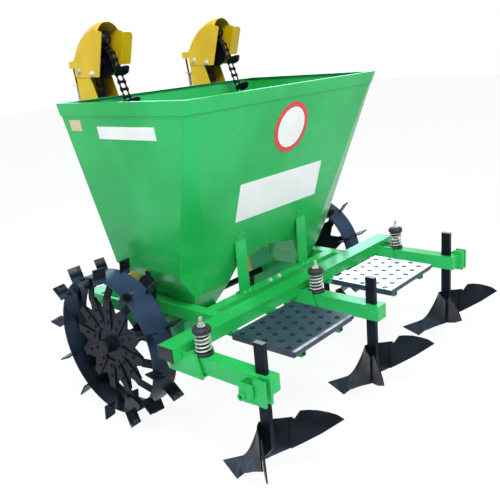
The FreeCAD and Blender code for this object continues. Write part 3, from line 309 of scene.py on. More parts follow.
def makeGreen(name, wave):
    # Glossy green with cloudy shades, faint level scratches, dust that gathers low down, and fine
    # orange peel; wave dents thin sheet.
    finish = Finish(name, Coat_Weight=greenPaint["coat"], Coat_Roughness=0.12, IOR=1.5,
                    Specular_Tint=greenPaint["tint"])
    cloud = finish.noise(greenPaint["cloudSpots"], 4).rise(0.35, 0.65)
    fleck = finish.noise(greenPaint["dustSpots"], 5, 0.6).rise(0.56, 0.74)
    low = 1 - finish.along("Z").rise(*greenPaint["dustHeight"])
    dust = fleck * (low * greenPaint["dustLow"] + greenPaint["dustAll"])
    scratch = finish.noise(greenPaint["scratchSpots"], 6, 0.62, (1, 1, 14)).rise(0.70, 0.75)
    colour = finish.mix(cloud, greenPaint["deep"], greenPaint["light"])
    colour = finish.mix(dust, colour, greenPaint["dust"])
    finish.put("Base Color", finish.mix(scratch * greenPaint["scratched"], colour, greenPaint["chip"]))
    finish.put("Roughness", cloud * 0.06 + dust * 0.5 + greenPaint["shine"])
    dents, peel = finish.noise(greenPaint["dentSpots"], 2), finish.noise(orangePeel["spots"], 2)
    finish.bumps((dents, wave, greenPaint["dentDepth"]), (peel, greenPaint["peel"], orangePeel["depth"]),
                 edge=greenPaint["edge"])
    return finish.material


yellowPaint = {"deep": (0.59, 0.375, 0.004), "light": (0.67, 0.45, 0.007), "grime": (0.20, 0.15, 0.03),
               "shine": 0.25, "tint": (1.0, 0.85, 0.45, 1.0), "coat": 0.15, "cloudSpots": 7,
               "grimeSpots": 46, "grimed": 0.35, "dentSpots": 5, "dented": 0.12, "dentDepth": 0.006,
               "peel": 0.05, "edge": 0.0016}


def makeYellow():
    # Golden yellow, glossy, a little grimy in flecks.
    finish = Finish("yellow paint", Coat_Weight=yellowPaint["coat"], Coat_Roughness=0.1,
                    Specular_Tint=yellowPaint["tint"])
    cloud = finish.noise(yellowPaint["cloudSpots"], 4).rise(0.3, 0.7)
    grime = finish.noise(yellowPaint["grimeSpots"], 6, 0.62).rise(0.62, 0.78) * yellowPaint["grimed"]
    colour = finish.mix(cloud, yellowPaint["deep"], yellowPaint["light"])
    finish.put("Base Color", finish.mix(grime, colour, yellowPaint["grime"]))
    finish.put("Roughness", yellowPaint["shine"] + cloud * 0.07 + grime * 0.3)
    dents, peel = finish.noise(yellowPaint["dentSpots"], 2), finish.noise(orangePeel["spots"], 2)
    finish.bumps((dents, yellowPaint["dented"], yellowPaint["dentDepth"]),
                 (peel, yellowPaint["peel"], orangePeel["depth"]), edge=yellowPaint["edge"])
    return finish.material


blackPaint = {"deep": (0.004, 0.005, 0.008), "light": (0.008, 0.011, 0.018), "steel": (0.42, 0.43, 0.44),
              "soil": (0.05, 0.045, 0.040), "tint": (0.55, 0.75, 1.0, 1.0), "ior": 1.22, "cloudSpots": 6,
              "soilSpots": 55, "soiled": 0.3, "bareMetal": 0.75, "grainSpots": 160, "grain": 0.10,
              "grainDepth": 0.0006, "edge": 0.0012}


def blackLayers(finish):
    # What the black paints share: cloudy shades, flecks of dried soil over them, and a grain.
    cloud = finish.noise(blackPaint["cloudSpots"], 4).rise(0.3, 0.7)
    soil = finish.noise(blackPaint["soilSpots"], 6, 0.65).rise(0.62, 0.75) * blackPaint["soiled"]
    colour = finish.mix(cloud, blackPaint["deep"], blackPaint["light"])
    grain = finish.noise(blackPaint["grainSpots"], 3)
    finish.bumps((grain, blackPaint["grain"], blackPaint["grainDepth"]), edge=blackPaint["edge"])
    return cloud, soil, finish.mix(soil, colour, blackPaint["soil"])


def makeBlack(name, paleMask, shine=0.36):
    # Black paint with a cool sheen. Where the given mask function gives 1 it turns to pale steel.
    finish = Finish(name, IOR=blackPaint["ior"], Specular_Tint=blackPaint["tint"])
    cloud, soil, colour = blackLayers(finish)
    paler = paleMask(finish)
    finish.put("Base Color", finish.mix(paler, colour, blackPaint["steel"]))
    finish.put("Metallic", paler * blackPaint["bareMetal"])
    finish.put("Roughness", cloud * 0.08 + soil * 0.5 + shine + paler * 0.06)
    return finish.material


# sheen is the colour of a painted blue sheen on the rim band, standing in for sky light.
wheelPaint = {"sheen": (0.028, 0.052, 0.100), "bandInner": (0.272, 0.282), "bandOuter": (0.294, 0.302),
              "paintedSheenSpots": 7, "paintedSheenHeight": (0.10, 0.62), "lugEnds": (0.309, 0.336), "lugSpots": 9,
              "rubSpots": 120, "rubLeast": 0.10, "rubMore": 0.22, "bareMetal": 0.7, "shine": 0.34}


def lugWear(finish):
    # Bare steel on the outer ends of the wheel's lugs, in patches.
    far = finish.distance(axleY, axleZ).rise(*wheelPaint["lugEnds"])
    patch = finish.noise(wheelPaint["lugSpots"], 3).rise(0.50, 0.60)
    rubbed = finish.noise(wheelPaint["rubSpots"], 4).rise(0.3, 0.7)
    return far * patch * (wheelPaint["rubLeast"] + rubbed * wheelPaint["rubMore"])


def makeRim():
    # Black wheel paint with a painted blue sheen: sky light laid into the colour of the rim band between
    # its two distances from the axle, that grows with height.
    finish = Finish("black wheel paint", IOR=blackPaint["ior"], Specular_Tint=blackPaint["tint"])
    far = finish.distance(axleY, axleZ)
    band = far.rise(*wheelPaint["bandInner"]) * (1 - far.rise(*wheelPaint["bandOuter"]))
    patch = 0.55 + finish.noise(wheelPaint["paintedSheenSpots"], 3).rise(0.3, 0.7) * 0.45
    # The painted sheen: sky light laid into the band's colour, stronger higher up, in patches.
    sheen = band * finish.along("Z").rise(*wheelPaint["paintedSheenHeight"]) * patch
    paler = lugWear(finish)
    _, soil, colour = blackLayers(finish)
    colour = finish.mix(sheen, colour, wheelPaint["sheen"])
    finish.put("Base Color", finish.mix(paler, colour, blackPaint["steel"]))
    finish.put("Metallic", paler * wheelPaint["bareMetal"])
    finish.put("Roughness", soil * 0.4 + wheelPaint["shine"])
    return finish.material


marks = {"chipSpots": 24, "chipped": 0.5, "shankTop": (0.5335, 0.5345), "shankTopPaler": 0.9}


def chipWear(finish):
    # Small chips all over, half bare.
    return finish.noise(marks["chipSpots"], 6, 0.68).rise(0.70, 0.76) * marks["chipped"]


def shankTopPale(finish):
    # The shanks' upper ends, above the given height, are made pale and metallic.
    return finish.along("Z").rise(*marks["shankTop"]) * marks["shankTopPaler"]


soilWorn = {"deep": (0.005, 0.006, 0.008), "light": (0.011, 0.014, 0.020), "bright": (0.085, 0.110, 0.155),
            "tint": (0.60, 0.78, 1.0, 1.0), "ior": 1.18, "scouredHeight": (0.085, 0.165), "streakSpots": 16,
            "rubSpots": 30, "cloudSpots": 12, "metal": 0.6, "shine": 0.34, "scaleSpots": 90, "scale": 0.15,
            "scaleDepth": 0.0008, "edge": 0.0012}


def makeSoilSteel():
    # Ridging bodies: scoured bright low down, dark scale above, with streaks along the travel.
    finish = Finish("soil worn steel", IOR=soilWorn["ior"], Specular_Tint=soilWorn["tint"])
    height = finish.along("Z")
    streak = finish.noise(soilWorn["streakSpots"], 5, 0.6, (6, 1, 1))
    low = 1 - (height + streak * 0.06).rise(*soilWorn["scouredHeight"])
    bright = low * (0.25 + finish.noise(soilWorn["rubSpots"], 4).rise(0.35, 0.7) * 0.45)
    cloud = finish.noise(soilWorn["cloudSpots"], 4).rise(0.3, 0.7)
    colour = finish.mix(cloud, soilWorn["deep"], soilWorn["light"])
    finish.put("Base Color", finish.mix(bright, colour, soilWorn["bright"]))
    finish.put("Metallic", bright * soilWorn["metal"])
    finish.put("Roughness", soilWorn["shine"] + streak * 0.12)
    scale = finish.noise(soilWorn["scaleSpots"], 4, 0.6, (5, 1, 1))
    finish.bumps((scale, soilWorn["scale"], soilWorn["scaleDepth"]), edge=soilWorn["edge"])
    return finish.material


zincPlate = {"dull": (0.50, 0.52, 0.50), "bright": (0.78, 0.79, 0.77), "metal": 0.9, "spangles": 220,
             "cloudSpots": 40, "shine": 0.28, "grainSpots": 300, "grain": 0.1, "grainDepth": 0.0003,
             "edge": 0.0006}


def makeZinc():
    # Bright zinc plating, a little spangled and dulled.
    finish = Finish("zinc", Metallic=zincPlate["metal"])
    spangle = finish.add("ShaderNodeTexVoronoi", {"feature": "F1"},
                         {"Vector": finish.where, "Scale": zincPlate["spangles"]})
    cloud = finish.noise(zincPlate["cloudSpots"], 4).rise(0.35, 0.7)
    finish.put("Base Color", finish.mix(cloud, zincPlate["dull"], zincPlate["bright"]))
    finish.put("Roughness", zincPlate["shine"] + cloud * 0.12 + spangle * 4)
    grain = finish.noise(zincPlate["grainSpots"], 2)
    finish.bumps((grain, zincPlate["grain"], zincPlate["grainDepth"]), edge=zincPlate["edge"])
    return finish.material


plastic = {"deep": (0.010, 0.011, 0.014), "light": (0.030, 0.032, 0.040), "ior": 1.33, "cloudSpots": 30,
           "shine": 0.38, "grainSpots": 700, "grain": 0.12, "grainDepth": 0.0003, "edge": 0.0015}


def makePlastic():
    # Black moulded plastic with a soft grain.
    finish = Finish("black plastic", IOR=plastic["ior"])
    cloud = finish.noise(plastic["cloudSpots"], 4).rise(0.3, 0.7)
    finish.put("Base Color", finish.mix(cloud, plastic["deep"], plastic["light"]))
    finish.put("Roughness", plastic["shine"] + cloud * 0.12)
    grain = finish.noise(plastic["grainSpots"], 2)
    finish.bumps((grain, plastic["grain"], plastic["grainDepth"]), edge=plastic["edge"])
    return finish.material


film = {"coat": 0.2, "shine": 0.28, "dust": (0.30, 0.30, 0.27), "ageSpots": 9, "dustSpots": 150,
        "dusted": 0.35, "waveSpots": 60, "wave": 0.06, "waveDepth": 0.0004}


def makeFilm(name, clean, aged):
    # Printed film on a plate: nearly even, with slight yellowing and dust specks.
    finish = Finish(name, Coat_Weight=film["coat"])
    cloud = finish.noise(film["ageSpots"], 5).rise(0.3, 0.75)
    speck = finish.noise(film["dustSpots"], 4).rise(0.66, 0.72) * film["dusted"]
    finish.put("Base Color", finish.mix(speck, finish.mix(cloud, clean, aged), film["dust"]))
    finish.put("Roughness", film["shine"] + cloud * 0.1)
    finish.bumps((finish.noise(film["waveSpots"], 3), film["wave"], film["waveDepth"]))
    return finish.material


# The pale colour of the boards' tops: a painted reflection of the bright sky, and pale patches along the
# rear edge.
board = {"deep": (0.016, 0.026, 0.048), "light": (0.028, 0.044, 0.078), "paler": (0.84, 0.87, 0.90),
         "tint": (0.75, 0.88, 1.0, 1.0), "topHeight": (0.4270, 0.4285), "rearEdge": (-0.796, -0.782),
         "patchSpots": 14, "metal": 0.4, "shine": 0.34, "grainSpots": 60, "grain": 0.12,
         "grainDepth": 0.0006, "edge": 0.0015}


def makeTread(name, paintedReflection):
    # Blue-black board made paler on its top: by a painted reflection of the bright sky, whose share is
    # the second argument, and more in patches along the rear edge; none below.
    finish = Finish(name, IOR=1.5, Specular_Tint=board["tint"])
    top = finish.along("Z").rise(*board["topHeight"])
    edgeLow, edgeHigh = board["rearEdge"]
    rear = 1 - finish.along("Y").rise(axleY + edgeLow, axleY + edgeHigh)
    patch = finish.noise(board["patchSpots"], 5, 0.6).rise(0.3, 0.7)
    paleMask = top * (paintedReflection * (0.7 + patch * 0.3) + rear * (0.25 + patch * 0.45)).rise(0, 1)
    colour = finish.mix(patch, board["deep"], board["light"])
    finish.put("Base Color", finish.mix(paleMask, colour, board["paler"]))
    finish.put("Metallic", paleMask * board["metal"])
    finish.put("Roughness", board["shine"] - paleMask * 0.06)
    grain = finish.noise(board["grainSpots"], 4)
    finish.bumps((grain, board["grain"], board["grainDepth"]), edge=board["edge"])
    return finish.material


green = makeGreen("green paint", 0.04)
greenSheet = makeGreen("green sheet", 0.20)
yellow = makeYellow()
black = makeBlack("black paint", chipWear)
shankBlack = makeBlack("shank paint", shankTopPale)
footboardDark = makeTread("footboard dark", 0.0)
# The right board's near-white top is a painted reflection of the bright sky.
footboardReflecting = makeTread("footboard painted reflection", 0.95)
blackWheel = makeRim()
chainSteel = makeBlack("chain steel", chipWear, 0.30)
soilSteel = makeSoilSteel()
zinc = makeZinc()
capPlastic = makePlastic()
signWhite = makeFilm("sign white", (0.80, 0.81, 0.80), (0.74, 0.75, 0.71))
signRed = makeFilm("sign red", (0.62, 0.020, 0.022), (0.52, 0.022, 0.020))
signBeige = makeFilm("plate beige", (0.62, 0.50, 0.28), (0.55, 0.44, 0.25))
print("finishes made")

nodeFinish = {"hopper_": greenSheet, "hopper_posts": green, "hopper_struts": green, "elevator_tube": yellow,
              "elevator_hood": yellow, "wheel_rim": blackWheel, "wheel_hub": blackWheel, "stub_axle": black,
              "drive_guard": black, "cup_chain": chainSteel, "top_sprockets": chainSteel,
              "drive_shaft": chainSteel, "furrow_opener": soilSteel, "ridging_body": soilSteel,
              "shank": shankBlack, "footboard": footboardDark, "footboard_right": footboardReflecting,
              "footboard_bars": green, "chain_idlers": chainSteel, "spring_coils": zinc,
              "spring_caps": capPlastic, "spring_rods": zinc, "toolbar_caps": capPlastic}
for nodeName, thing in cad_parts.items():
    chosen = green  # the last start that fits the name wins
    for start, finish in nodeFinish.items():
        if nodeName.startswith(start):
            chosen = finish
    thing.data.materials.clear()
    thing.data.materials.append(chosen)
print("frame painted")


# A bolt, for the places further on

boltSize = {"head": 10, "rise": 7, "washer": 13, "washerRise": 2, "thread": 5.5, "end": 5, "sunk": -1}


def bolt(origin, out, scale=1.0, turn=0.3, end=True):
    # A six-sided head with a chamfered top on a round washer, and the thread's end above it, all
    # turned profiles.
    washer, rise, wide = (boltSize[key] * scale for key in ("washerRise", "rise", "washer"))
    head, thread = boltSize["head"] * scale, boltSize["thread"] * scale
    top, sunk = washer + rise, boltSize["sunk"]
    disc = [(0, sunk), (wide, sunk), (wide, washer * 0.7), (wide * 0.95, washer), (0, washer)]
    hexagon = [(0, washer), (head, washer), (head, top - rise * 0.22), (head * 0.88, top), (0, top)]
    shapes = [turned(disc, 20), turned(hexagon, 6)]
    if end:
        tip = top + boltSize["end"] * scale
        stub = [(0, top), (thread, top), (thread, tip - 1), (thread * 0.8, tip), (0, tip)]
        shapes.append(turned(stub, 12))
    return aimed(joined(*shapes), origin, out, turn)


# Cup chains: two strands of links with rollers between them, and dished cups at even steps

chain = {"wheels": [(35, 341), (250, 1420), (-40, 585)], "radius": 66, "links": 84, "strand": 14,
         "cups": 20, "phase": 0.63, "swell": 0.45, "roller": 6, "cupOut": 30, "stemOut": 6}
cupSize = {"wide": 1.14, "deep": 1.12, "sides": 28,
           "inner": [(8, -15), (8.6, -14), (15, -11), (20, -4), (23, 6), (25, 9.4), (27.4, 9)],
           "outer": [(28.4, 6.6), (27, 3.4), (24, -5), (18.5, -14), (10, -18), (8, -17)]}


def chainPoint(way):
    # On each wheel an arc, c + R (n cos a + t sin a) with a = s / R, then a run to the next wheel,
    # c + R n + t s, where t is the heading, n is t turned to the right and s is the way along the stretch.
    centres = np.array(chain["wheels"], float)
    runs = np.roll(centres, -1, 0) - centres
    lengths = np.linalg.norm(runs, axis=1)
    ahead = runs / lengths[:, None]
    before = np.roll(ahead, 1, 0)
    radius = chain["radius"]
    arcs = np.arccos(np.sum(ahead * before, 1)) * radius
    ends = np.cumsum(np.column_stack([arcs, lengths]).ravel())
    way = np.mod(way, ends[-1])
    stretch = np.searchsorted(ends, way, side="right")
    wheel, onArc = stretch // 2, (stretch % 2 == 0)[:, None]
    start = way - np.concatenate([[0], ends])[stretch]
    heading = np.where(onArc, before[wheel], ahead[wheel])
    normal = np.column_stack([heading[:, 1], -heading[:, 0]])
    angle = (start / radius)[:, None]
    out = np.where(onArc, normal * np.cos(angle) + heading * np.sin(angle), normal)
    spot = centres[wheel] + out * radius + np.where(onArc, 0, heading * start[:, None])
    return spot, out, ends[-1]


def cupShape():
    # Dish, x = w r(h) cos a, y = d r(h) sin a, z = h: the radius grows from the hollow's floor to a
    # rolled rim and falls back outside, and the floor has an opening.
    radius, height = np.array(cupSize["inner"] + cupSize["outer"], float).T
    angle = np.arange(cupSize["sides"]) * 2 * np.pi / cupSize["sides"]
    grid = np.stack([radius[:, None] * cupSize["wide"] * np.cos(angle),
                     radius[:, None] * cupSize["deep"] * np.sin(angle),
                     height[:, None] + 0 * angle], -1)
    return surface(grid * 0.001, roundRows=True, roundColumns=True)


def chainLoop(x):
    # Strands: a flat bar carried round the loop, whose size waves once a link, 0.9 (1 + swell cos a);
    # then the rollers, one a link, and the cups on their stems.
    length = chainPoint(np.zeros(1))[2]
    steps = chain["links"] * 6
    spot, _, _ = chainPoint(np.arange(steps) * length / steps)
    swell = 0.9 * (1 + chain["swell"] * np.cos(np.arange(steps) * 2 * np.pi / 6))
    bar = [(-2.8, -5), (2.8, -5), (2.8, 5), (-2.8, 5)]
    shapes = []
    for side in (-1, 1):
        path = placed(np.column_stack([np.full(steps, x + side * chain["strand"]), spot]))
        shapes.append(carried(path, bar, (1, 0, 0), True, swell))
    rollerEnd = chain["strand"] + 1
    roller = turned([(0, -rollerEnd), (chain["roller"], -rollerEnd), (chain["roller"] + 0.4, rollerEnd),
                     (0, rollerEnd)], 10)
    spots, _, _ = chainPoint(np.arange(chain["links"]) * length / chain["links"])
    for pin in spots:
        shapes.append(framed(roller, place(x, *pin), (0, 1, 0), (0, 0, 1), (1, 0, 0)))
    cup = cupShape()
    spots, outs, _ = chainPoint((np.arange(chain["cups"]) + chain["phase"]) * length / chain["cups"])
    for pin, way in zip(spots, outs):
        ahead = np.array([0, -way[1], way[0]])
        outward = np.array([0, *way])
        root = place(x, *pin)
        shapes.append(framed(cup, root + outward * chain["cupOut"] * 0.001, (-1, 0, 0), outward, -ahead))
        stem = [root, root + outward * chain["stemOut"] * 0.001]
        shapes.append(carried(stem, [(-9, -5), (9, -5), (9, 5), (-9, 5)], ahead))
    return joined(*shapes)


for side, x in (("left", -elevatorX), ("right", elevatorX)):
    piece("cup_chain_loop_" + side, chainLoop(x), chainSteel,
          replaces=["cup_chain_" + side])
print("cup chains made")


# Springs of the ridging gear

springSize = {"y": -529, "seat": 424, "low": 436, "top": 507, "radius": 26.2, "wire": 3.0, "turns": 5.0,
              "tip": 564, "rodFoot": 350, "rod": 6.4, "pitch": 1.75, "nut": 10.4, "pin": 1.7}


def springCoil(x):
    # Helix x = R cos a, y = R sin a, whose rise is flat for a quarter turn at each end.
    turns = springSize["turns"]
    share = np.linspace(0, 1, int(turns * 36))
    angle = share * turns * 2 * np.pi
    wire = springSize["wire"]
    low, top = springSize["low"] + wire, springSize["top"] - wire
    rise = low + (top - low) * np.clip((share - 0.05) / 0.9, 0, 1)
    path = np.column_stack([x + springSize["radius"] * np.cos(angle),
                            springSize["y"] + springSize["radius"] * np.sin(angle), rise])
    return carried(placed(path), circle(wire, 10))


def springEnds(x):
    # Lower cup and upper mushroom cap, each a turned profile with a rounded rim and a core inside the coil.
    seat, low, top = springSize["seat"], springSize["low"], springSize["top"]
    lower = turned([(9, seat), (32, seat), (33.5, seat + 2), (33.5, seat + 7), (31.5, seat + 10.5),
                    (29, low), (21.5, low), (21, low + 22), (19, low + 25), (9, low + 25), (9, seat)], 40)
    upper = turned([(9, top - 26), (19, top - 26), (21, top - 23), (21.5, top), (30, top), (33, top + 2),
                    (34, top + 7), (33.6, top + 15), (30, top + 20), (22, top + 23.4), (14, top + 24),
                    (9, top + 24), (9, top - 26)], 40)
    return moved(joined(lower, upper), place(x, springSize["y"], 0))


def springRod(x):
    # Threaded rod: its radius steps up and down once a pitch; on it a washer, a nut and a split pin,
    # whose height is a parabola of the way along it.
    top, foot, tip = springSize["top"] + 24, springSize["rodFoot"], springSize["tip"]
    thick, wide = springSize["rod"], springSize["nut"]
    groove = np.arange(top + 16, tip - 2, springSize["pitch"])
    thread = np.column_stack([np.tile([5.2, 6.2], len(groove)),
                              np.repeat(groove, 2) + np.tile([0, 0.9], len(groove))])
    rod = [(0, foot), (thick, foot), (thick, top + 15), *map(tuple, thread), (4.6, tip - 0.5), (0, tip)]
    washer = [(0, top - 0.5), (15, top - 0.5), (15, top + 1.6), (14, top + 2), (0, top + 2)]
    nut = [(0, top + 2), (wide, top + 2), (wide + 0.4, top + 3), (wide + 0.4, top + 9),
           (wide - 0.8, top + 10), (0, top + 10)]
    stack = moved(joined(turned(rod, 18), turned(washer, 28), turned(nut, 6)), place(x, springSize["y"], 0))
    way = np.linspace(-1, 1, 12)
    pin = np.column_stack([x + way * 15, springSize["y"] + way * 9, tip - 9 + 2.5 * way ** 2])
    return joined(stack, carried(placed(pin), circle(springSize["pin"], 8)))


rows = (-rowSpacing, 0, rowSpacing)
piece("spring_coils_wound", joined(*map(springCoil, rows)), zinc, replaces=["spring_coils"])
piece("spring_cups", joined(*map(springEnds, rows)), capPlastic,
      replaces=["spring_caps"])
piece("spring_threads", joined(*map(springRod, rows)), zinc, replaces=["spring_rods"])
print("springs made")


# Signs and plates, all blank

wall = {"foot": 606, "rear": -280, "rearLean": 0.3117, "left": -504, "leftLean": 0.1285, "lift": 0.4}


def onRearWall(shape, x, z):
    # The wall's y falls by its lean for each millimetre above its foot.
    lean = wall["rearLean"]
    out = unit((0, -1, -lean))
    origin = place(x, wall["rear"] - lean * (z - wall["foot"]), z) + out * wall["lift"] * 0.001
    return framed(shape, origin, (1, 0, 0), (0, -lean, 1), out)


def onLeftWall(shape, y, z):
    # The wall's x falls by its lean for each millimetre above its foot.
    lean = wall["leftLean"]
    out = unit((-1, 0, -lean))
    origin = place(wall["left"] - lean * (z - wall["foot"]), y, z) + out * wall["lift"] * 0.001
    return framed(shape, origin, (0, -1, 0), (-lean, 0, 1), out)


signSize = {"at": (16, 1112), "radius": 106, "ring": 84, "thick": 1.6, "proud": 0.15, "sides": 72}
outer, inner, thick = signSize["radius"], signSize["ring"], signSize["thick"]
face = thick + signSize["proud"]
disc = turned([(0, 0), (inner + 1, 0), (inner + 1, thick), (0, thick)], signSize["sides"])
ring = turned([(inner, 0), (outer, 0), (outer, thick * 0.7), (outer - 0.6, face), (inner, face),
               (inner, 0)], signSize["sides"])
piece("round_sign_disc", onRearWall(disc, *signSize["at"]), signWhite)
piece("round_sign_ring", onRearWall(ring, *signSize["at"]), signRed)
plates = {"rear_plate": {"wall": onRearWall, "at": (20, 847), "outline": (540, 165, 4), "thick": 1.2,
                         "finish": signWhite, "bevel": 0.4},
          "side_label": {"wall": onLeftWall, "at": (-136.5, 1169), "outline": (331, 48, 2), "thick": 0.8,
                         "finish": signWhite, "bevel": 0.3},
          "small_plate": {"wall": onLeftWall, "at": (165.5, 1196), "outline": (71, 44, 3), "thick": 1.0,
                          "finish": signBeige, "bevel": 0.3}}
for name, plate in plates.items():
    flat = slab(roundedRectangle(*plate["outline"]), plate["thick"])
    piece(name, plate["wall"](flat, *plate["at"]), plate["finish"], bevel=plate["bevel"])
print("signs made")


# Footboards: pressed dimples in staggered rows on each tread

tread = {"columns": 6, "rows": 5, "inset": 34, "rearMore": 10,
         "lip": [(5.2, -0.5), (5.6, 1.2), (7.2, 2.2), (8.8, 1.6), (11, 0.2), (12, -0.4)]}


def dimples(side):
    # Each is a turned lip round an open middle; rows shift by a quarter step, left and right in turn.
    lip = turned(tread["lip"], 18)
    low, high = np.array(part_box("footboard_" + side))
    inset = tread["inset"]
    xs = np.linspace(low[0] * 1000 + inset, high[0] * 1000 - inset, tread["columns"])
    ys = np.linspace(low[1] * 1000 + inset + tread["rearMore"], high[1] * 1000 - inset, tread["rows"])
    shapes = []
    for row, y in enumerate(ys):
        shift = (xs[1] - xs[0]) / 4 * (1 if row % 2 else -1)
        shapes += [moved(lip, [(x + shift) * 0.001, y * 0.001, high[2]]) for x in xs]
    return joined(*shapes)


for side in ("left", "right"):
    piece("tread_dimples_" + side, dimples(side), black)
print("treads made")


# Bolts on the wheels, the beams, the hoods and the ridging gear

wheelBolt = {"face": 704, "axle": 339.6, "rings": (100, 148), "spokes": 12, "first": -8, "scale": 0.62}


def wheelBolts(sign):
    # Two bolts where each spoke lies on the hub plate: y = r sin a, z = axle + r cos a.
    shapes = []
    angle = np.radians(wheelBolt["first"] + np.arange(wheelBolt["spokes"]) * 360 / wheelBolt["spokes"])
    for radius in wheelBolt["rings"]:
        for a in angle:
            y, z = radius * math.sin(a), wheelBolt["axle"] + radius * math.cos(a)
            spot = place(sign * wheelBolt["face"], y, z)
            shapes.append(bolt(spot, (sign, 0, 0), wheelBolt["scale"], a, False))
    return joined(*shapes)


for side, sign in (("left", -1), ("right", 1)):
    piece("wheel_bolts_" + side, wheelBolts(sign), blackWheel, "wheel_" + side)

footBolt = {"xs": (-221, -189, 189, 221), "at": (-318, 456), "scale": 0.8}
footBolts = [bolt(place(x, *footBolt["at"]), (0, 0, 1), footBolt["scale"]) for x in footBolt["xs"]]
piece("foot_bolts", joined(*footBolts), green)

beamBolt = {"xs": (-39, 21), "at": (-309, 450), "scale": 0.75, "turn": 0.1}
beamBolts = [bolt(place(x, *beamBolt["at"]), (0, 0, 1), beamBolt["scale"], beamBolt["turn"])
             for x in beamBolt["xs"]]
piece("beam_bolts", joined(*beamBolts), zinc)

hoodBolt = {"faces": {-59: ((349, 1396), (262, 1381)), 56: ((349, 1388), (290, 1381))}, "scale": 0.95,
            "turn": 0.2}
hoodBolts = []
for centre in (-elevatorX, elevatorX):
    for face, spots in hoodBolt["faces"].items():
        out = (math.copysign(1, face), 0, 0)
        hoodBolts += [bolt(place(centre + face, *spot), out, hoodBolt["scale"], hoodBolt["turn"])
                      for spot in spots]
piece("hood_bolts", joined(*hoodBolts), zinc)

pivotBolt = {"face": 45, "at": (-404, 377), "scale": 1.15, "turn": 0.4}
pivotBolts = [bolt(place(x + sign * pivotBolt["face"], *pivotBolt["at"]), (sign, 0, 0), pivotBolt["scale"],
                   pivotBolt["turn"])
              for x in rows for sign in (-1, 1)]
piece("pivot_bolts", joined(*pivotBolts), zinc)
print("bolts made")


# Chain tensioners in front of the hoods: a bent rod through the bracket, two small plates and a spring

tensioner = {"side": -18, "y": 452, "top": 1437, "bar": 1418, "plate": 1336, "low": 1266, "bend": 16,
             "rod": 4.5, "coil": 8, "coilBack": 15, "wire": 1.6, "turns": 12, "seatSize": (46, 30, 4),
             "seatBack": 17, "barSize": (52, 26, 1), "barBack": 2, "sheet": 4, "nut": 0.9}


def tensionerRod(x):
    # Its y falls back by bend (3 s^2 - 2 s^3) from its top, s = 0, to its foot, s = 1.
    share = np.linspace(0, 1, 24)
    bend = -tensioner["bend"] * (3 * share ** 2 - 2 * share ** 3)
    path = np.column_stack([np.full(24, x + tensioner["side"]), tensioner["y"] + bend,
                            tensioner["top"] + (tensioner["low"] - tensioner["top"]) * share])
    return carried(placed(path), circle(tensioner["rod"], 12), (1, 0, 0))


def tensionerSpring(x):
    # Helix x = R cos a, y = R sin a round the rod's foot, rising evenly to the upper seat.
    turns = tensioner["turns"]
    share = np.linspace(0, 1, turns * 20)
    angle = share * turns * 2 * np.pi
    path = np.column_stack([x + tensioner["side"] + tensioner["coil"] * np.cos(angle),
                            tensioner["y"] - tensioner["coilBack"] + tensioner["coil"] * np.sin(angle),
                            tensioner["low"] + (tensioner["plate"] - tensioner["low"] - 3) * share])
    return carried(placed(path), circle(tensioner["wire"], 8))


def tensionerPlate(x):
    # The spring's seat, and a flat bar across the bracket that the rod hangs from.
    seat = slab(roundedRectangle(*tensioner["seatSize"]), tensioner["sheet"])
    bar = slab(roundedRectangle(*tensioner["barSize"]), tensioner["sheet"])
    seatAt = place(x + tensioner["side"], tensioner["y"] - tensioner["seatBack"], tensioner["plate"])
    barAt = place(x, tensioner["y"] - tensioner["barBack"], tensioner["bar"])
    return joined(moved(seat, seatAt), moved(bar, barAt))


def tensionerNut(x):
    # A nut on the rod, where it comes out of the flat bar.
    spot = place(x + tensioner["side"], tensioner["y"], tensioner["bar"] + tensioner["sheet"])
    return bolt(spot, (0, 0, 1), tensioner["nut"], 0.2)


for name, shape, finish, slot, bevel in (("rods", tensionerRod, black, "black_steel", 0),
                                         ("nuts", tensionerNut, zinc, "zinc", 0),
                                         ("springs", tensionerSpring, zinc, "zinc", 0),
                                         ("plates", tensionerPlate, yellow, "yellow_paint", 0.6)):
    piece("tensioner_" + name, joined(shape(-elevatorX), shape(elevatorX)), finish, bevel=bevel)
print("tensioners made")


# Floor, light and camera

stage = {"floor": 20, "floorDrop": -0.0005, "floorColour": (0.96, 0.96, 0.96, 1), "floorRough": 0.9,
         "floorGlow": 0.92, "sky": (0.84, 0.94, 1.0, 1), "skyPower": 0.55, "lookedAt": (0, 0, 0.6)}


def seenRay(tree):
    # 1 for a ray from the camera, off a glossy surface or through a clear one, else 0: the largest of
    # the three.
    ray = tree.nodes.new("ShaderNodeLightPath")
    seen = ray.outputs["Is Camera Ray"]
    for kind in ("Is Glossy Ray", "Is Transmission Ray"):
        largest = tree.nodes.new("ShaderNodeMath")
        largest.operation = "MAXIMUM"
        tree.links.new(seen, largest.inputs[0])
        tree.links.new(ray.outputs[kind], largest.inputs[1])
        seen = largest.outputs[0]
    return seen


def blend(tree, share, low, high, end):
    # low where the share is 0 and high where it is 1, into the end node's surface.
    mixed = tree.nodes.new("ShaderNodeMixShader")
    for socket, value in zip(mixed.inputs, (share, low, high)):
        tree.links.new(value, socket)
    tree.links.new(mixed.outputs[0], tree.nodes[end].inputs["Surface"])


def makeFloor():
    # Pale, mostly seen as lit white, and it keeps the shadow.
    material = bpy.data.materials.new("pale floor")
    material.use_nodes = True
    tree = material.node_tree
    base = tree.nodes["Principled BSDF"]
    base.inputs["Base Color"].default_value = stage["floorColour"]
    base.inputs["Roughness"].default_value = stage["floorRough"]
    glow = tree.nodes.new("ShaderNodeEmission")
    glow.inputs["Strength"].default_value = 1.0
    share = tree.nodes.new("ShaderNodeMath")
    share.operation = "MULTIPLY"
    share.inputs[1].default_value = stage["floorGlow"]
    tree.links.new(seenRay(tree), share.inputs[0])
    blend(tree, share.outputs[0], base.outputs[0], glow.outputs[0], "Material Output")
    return material


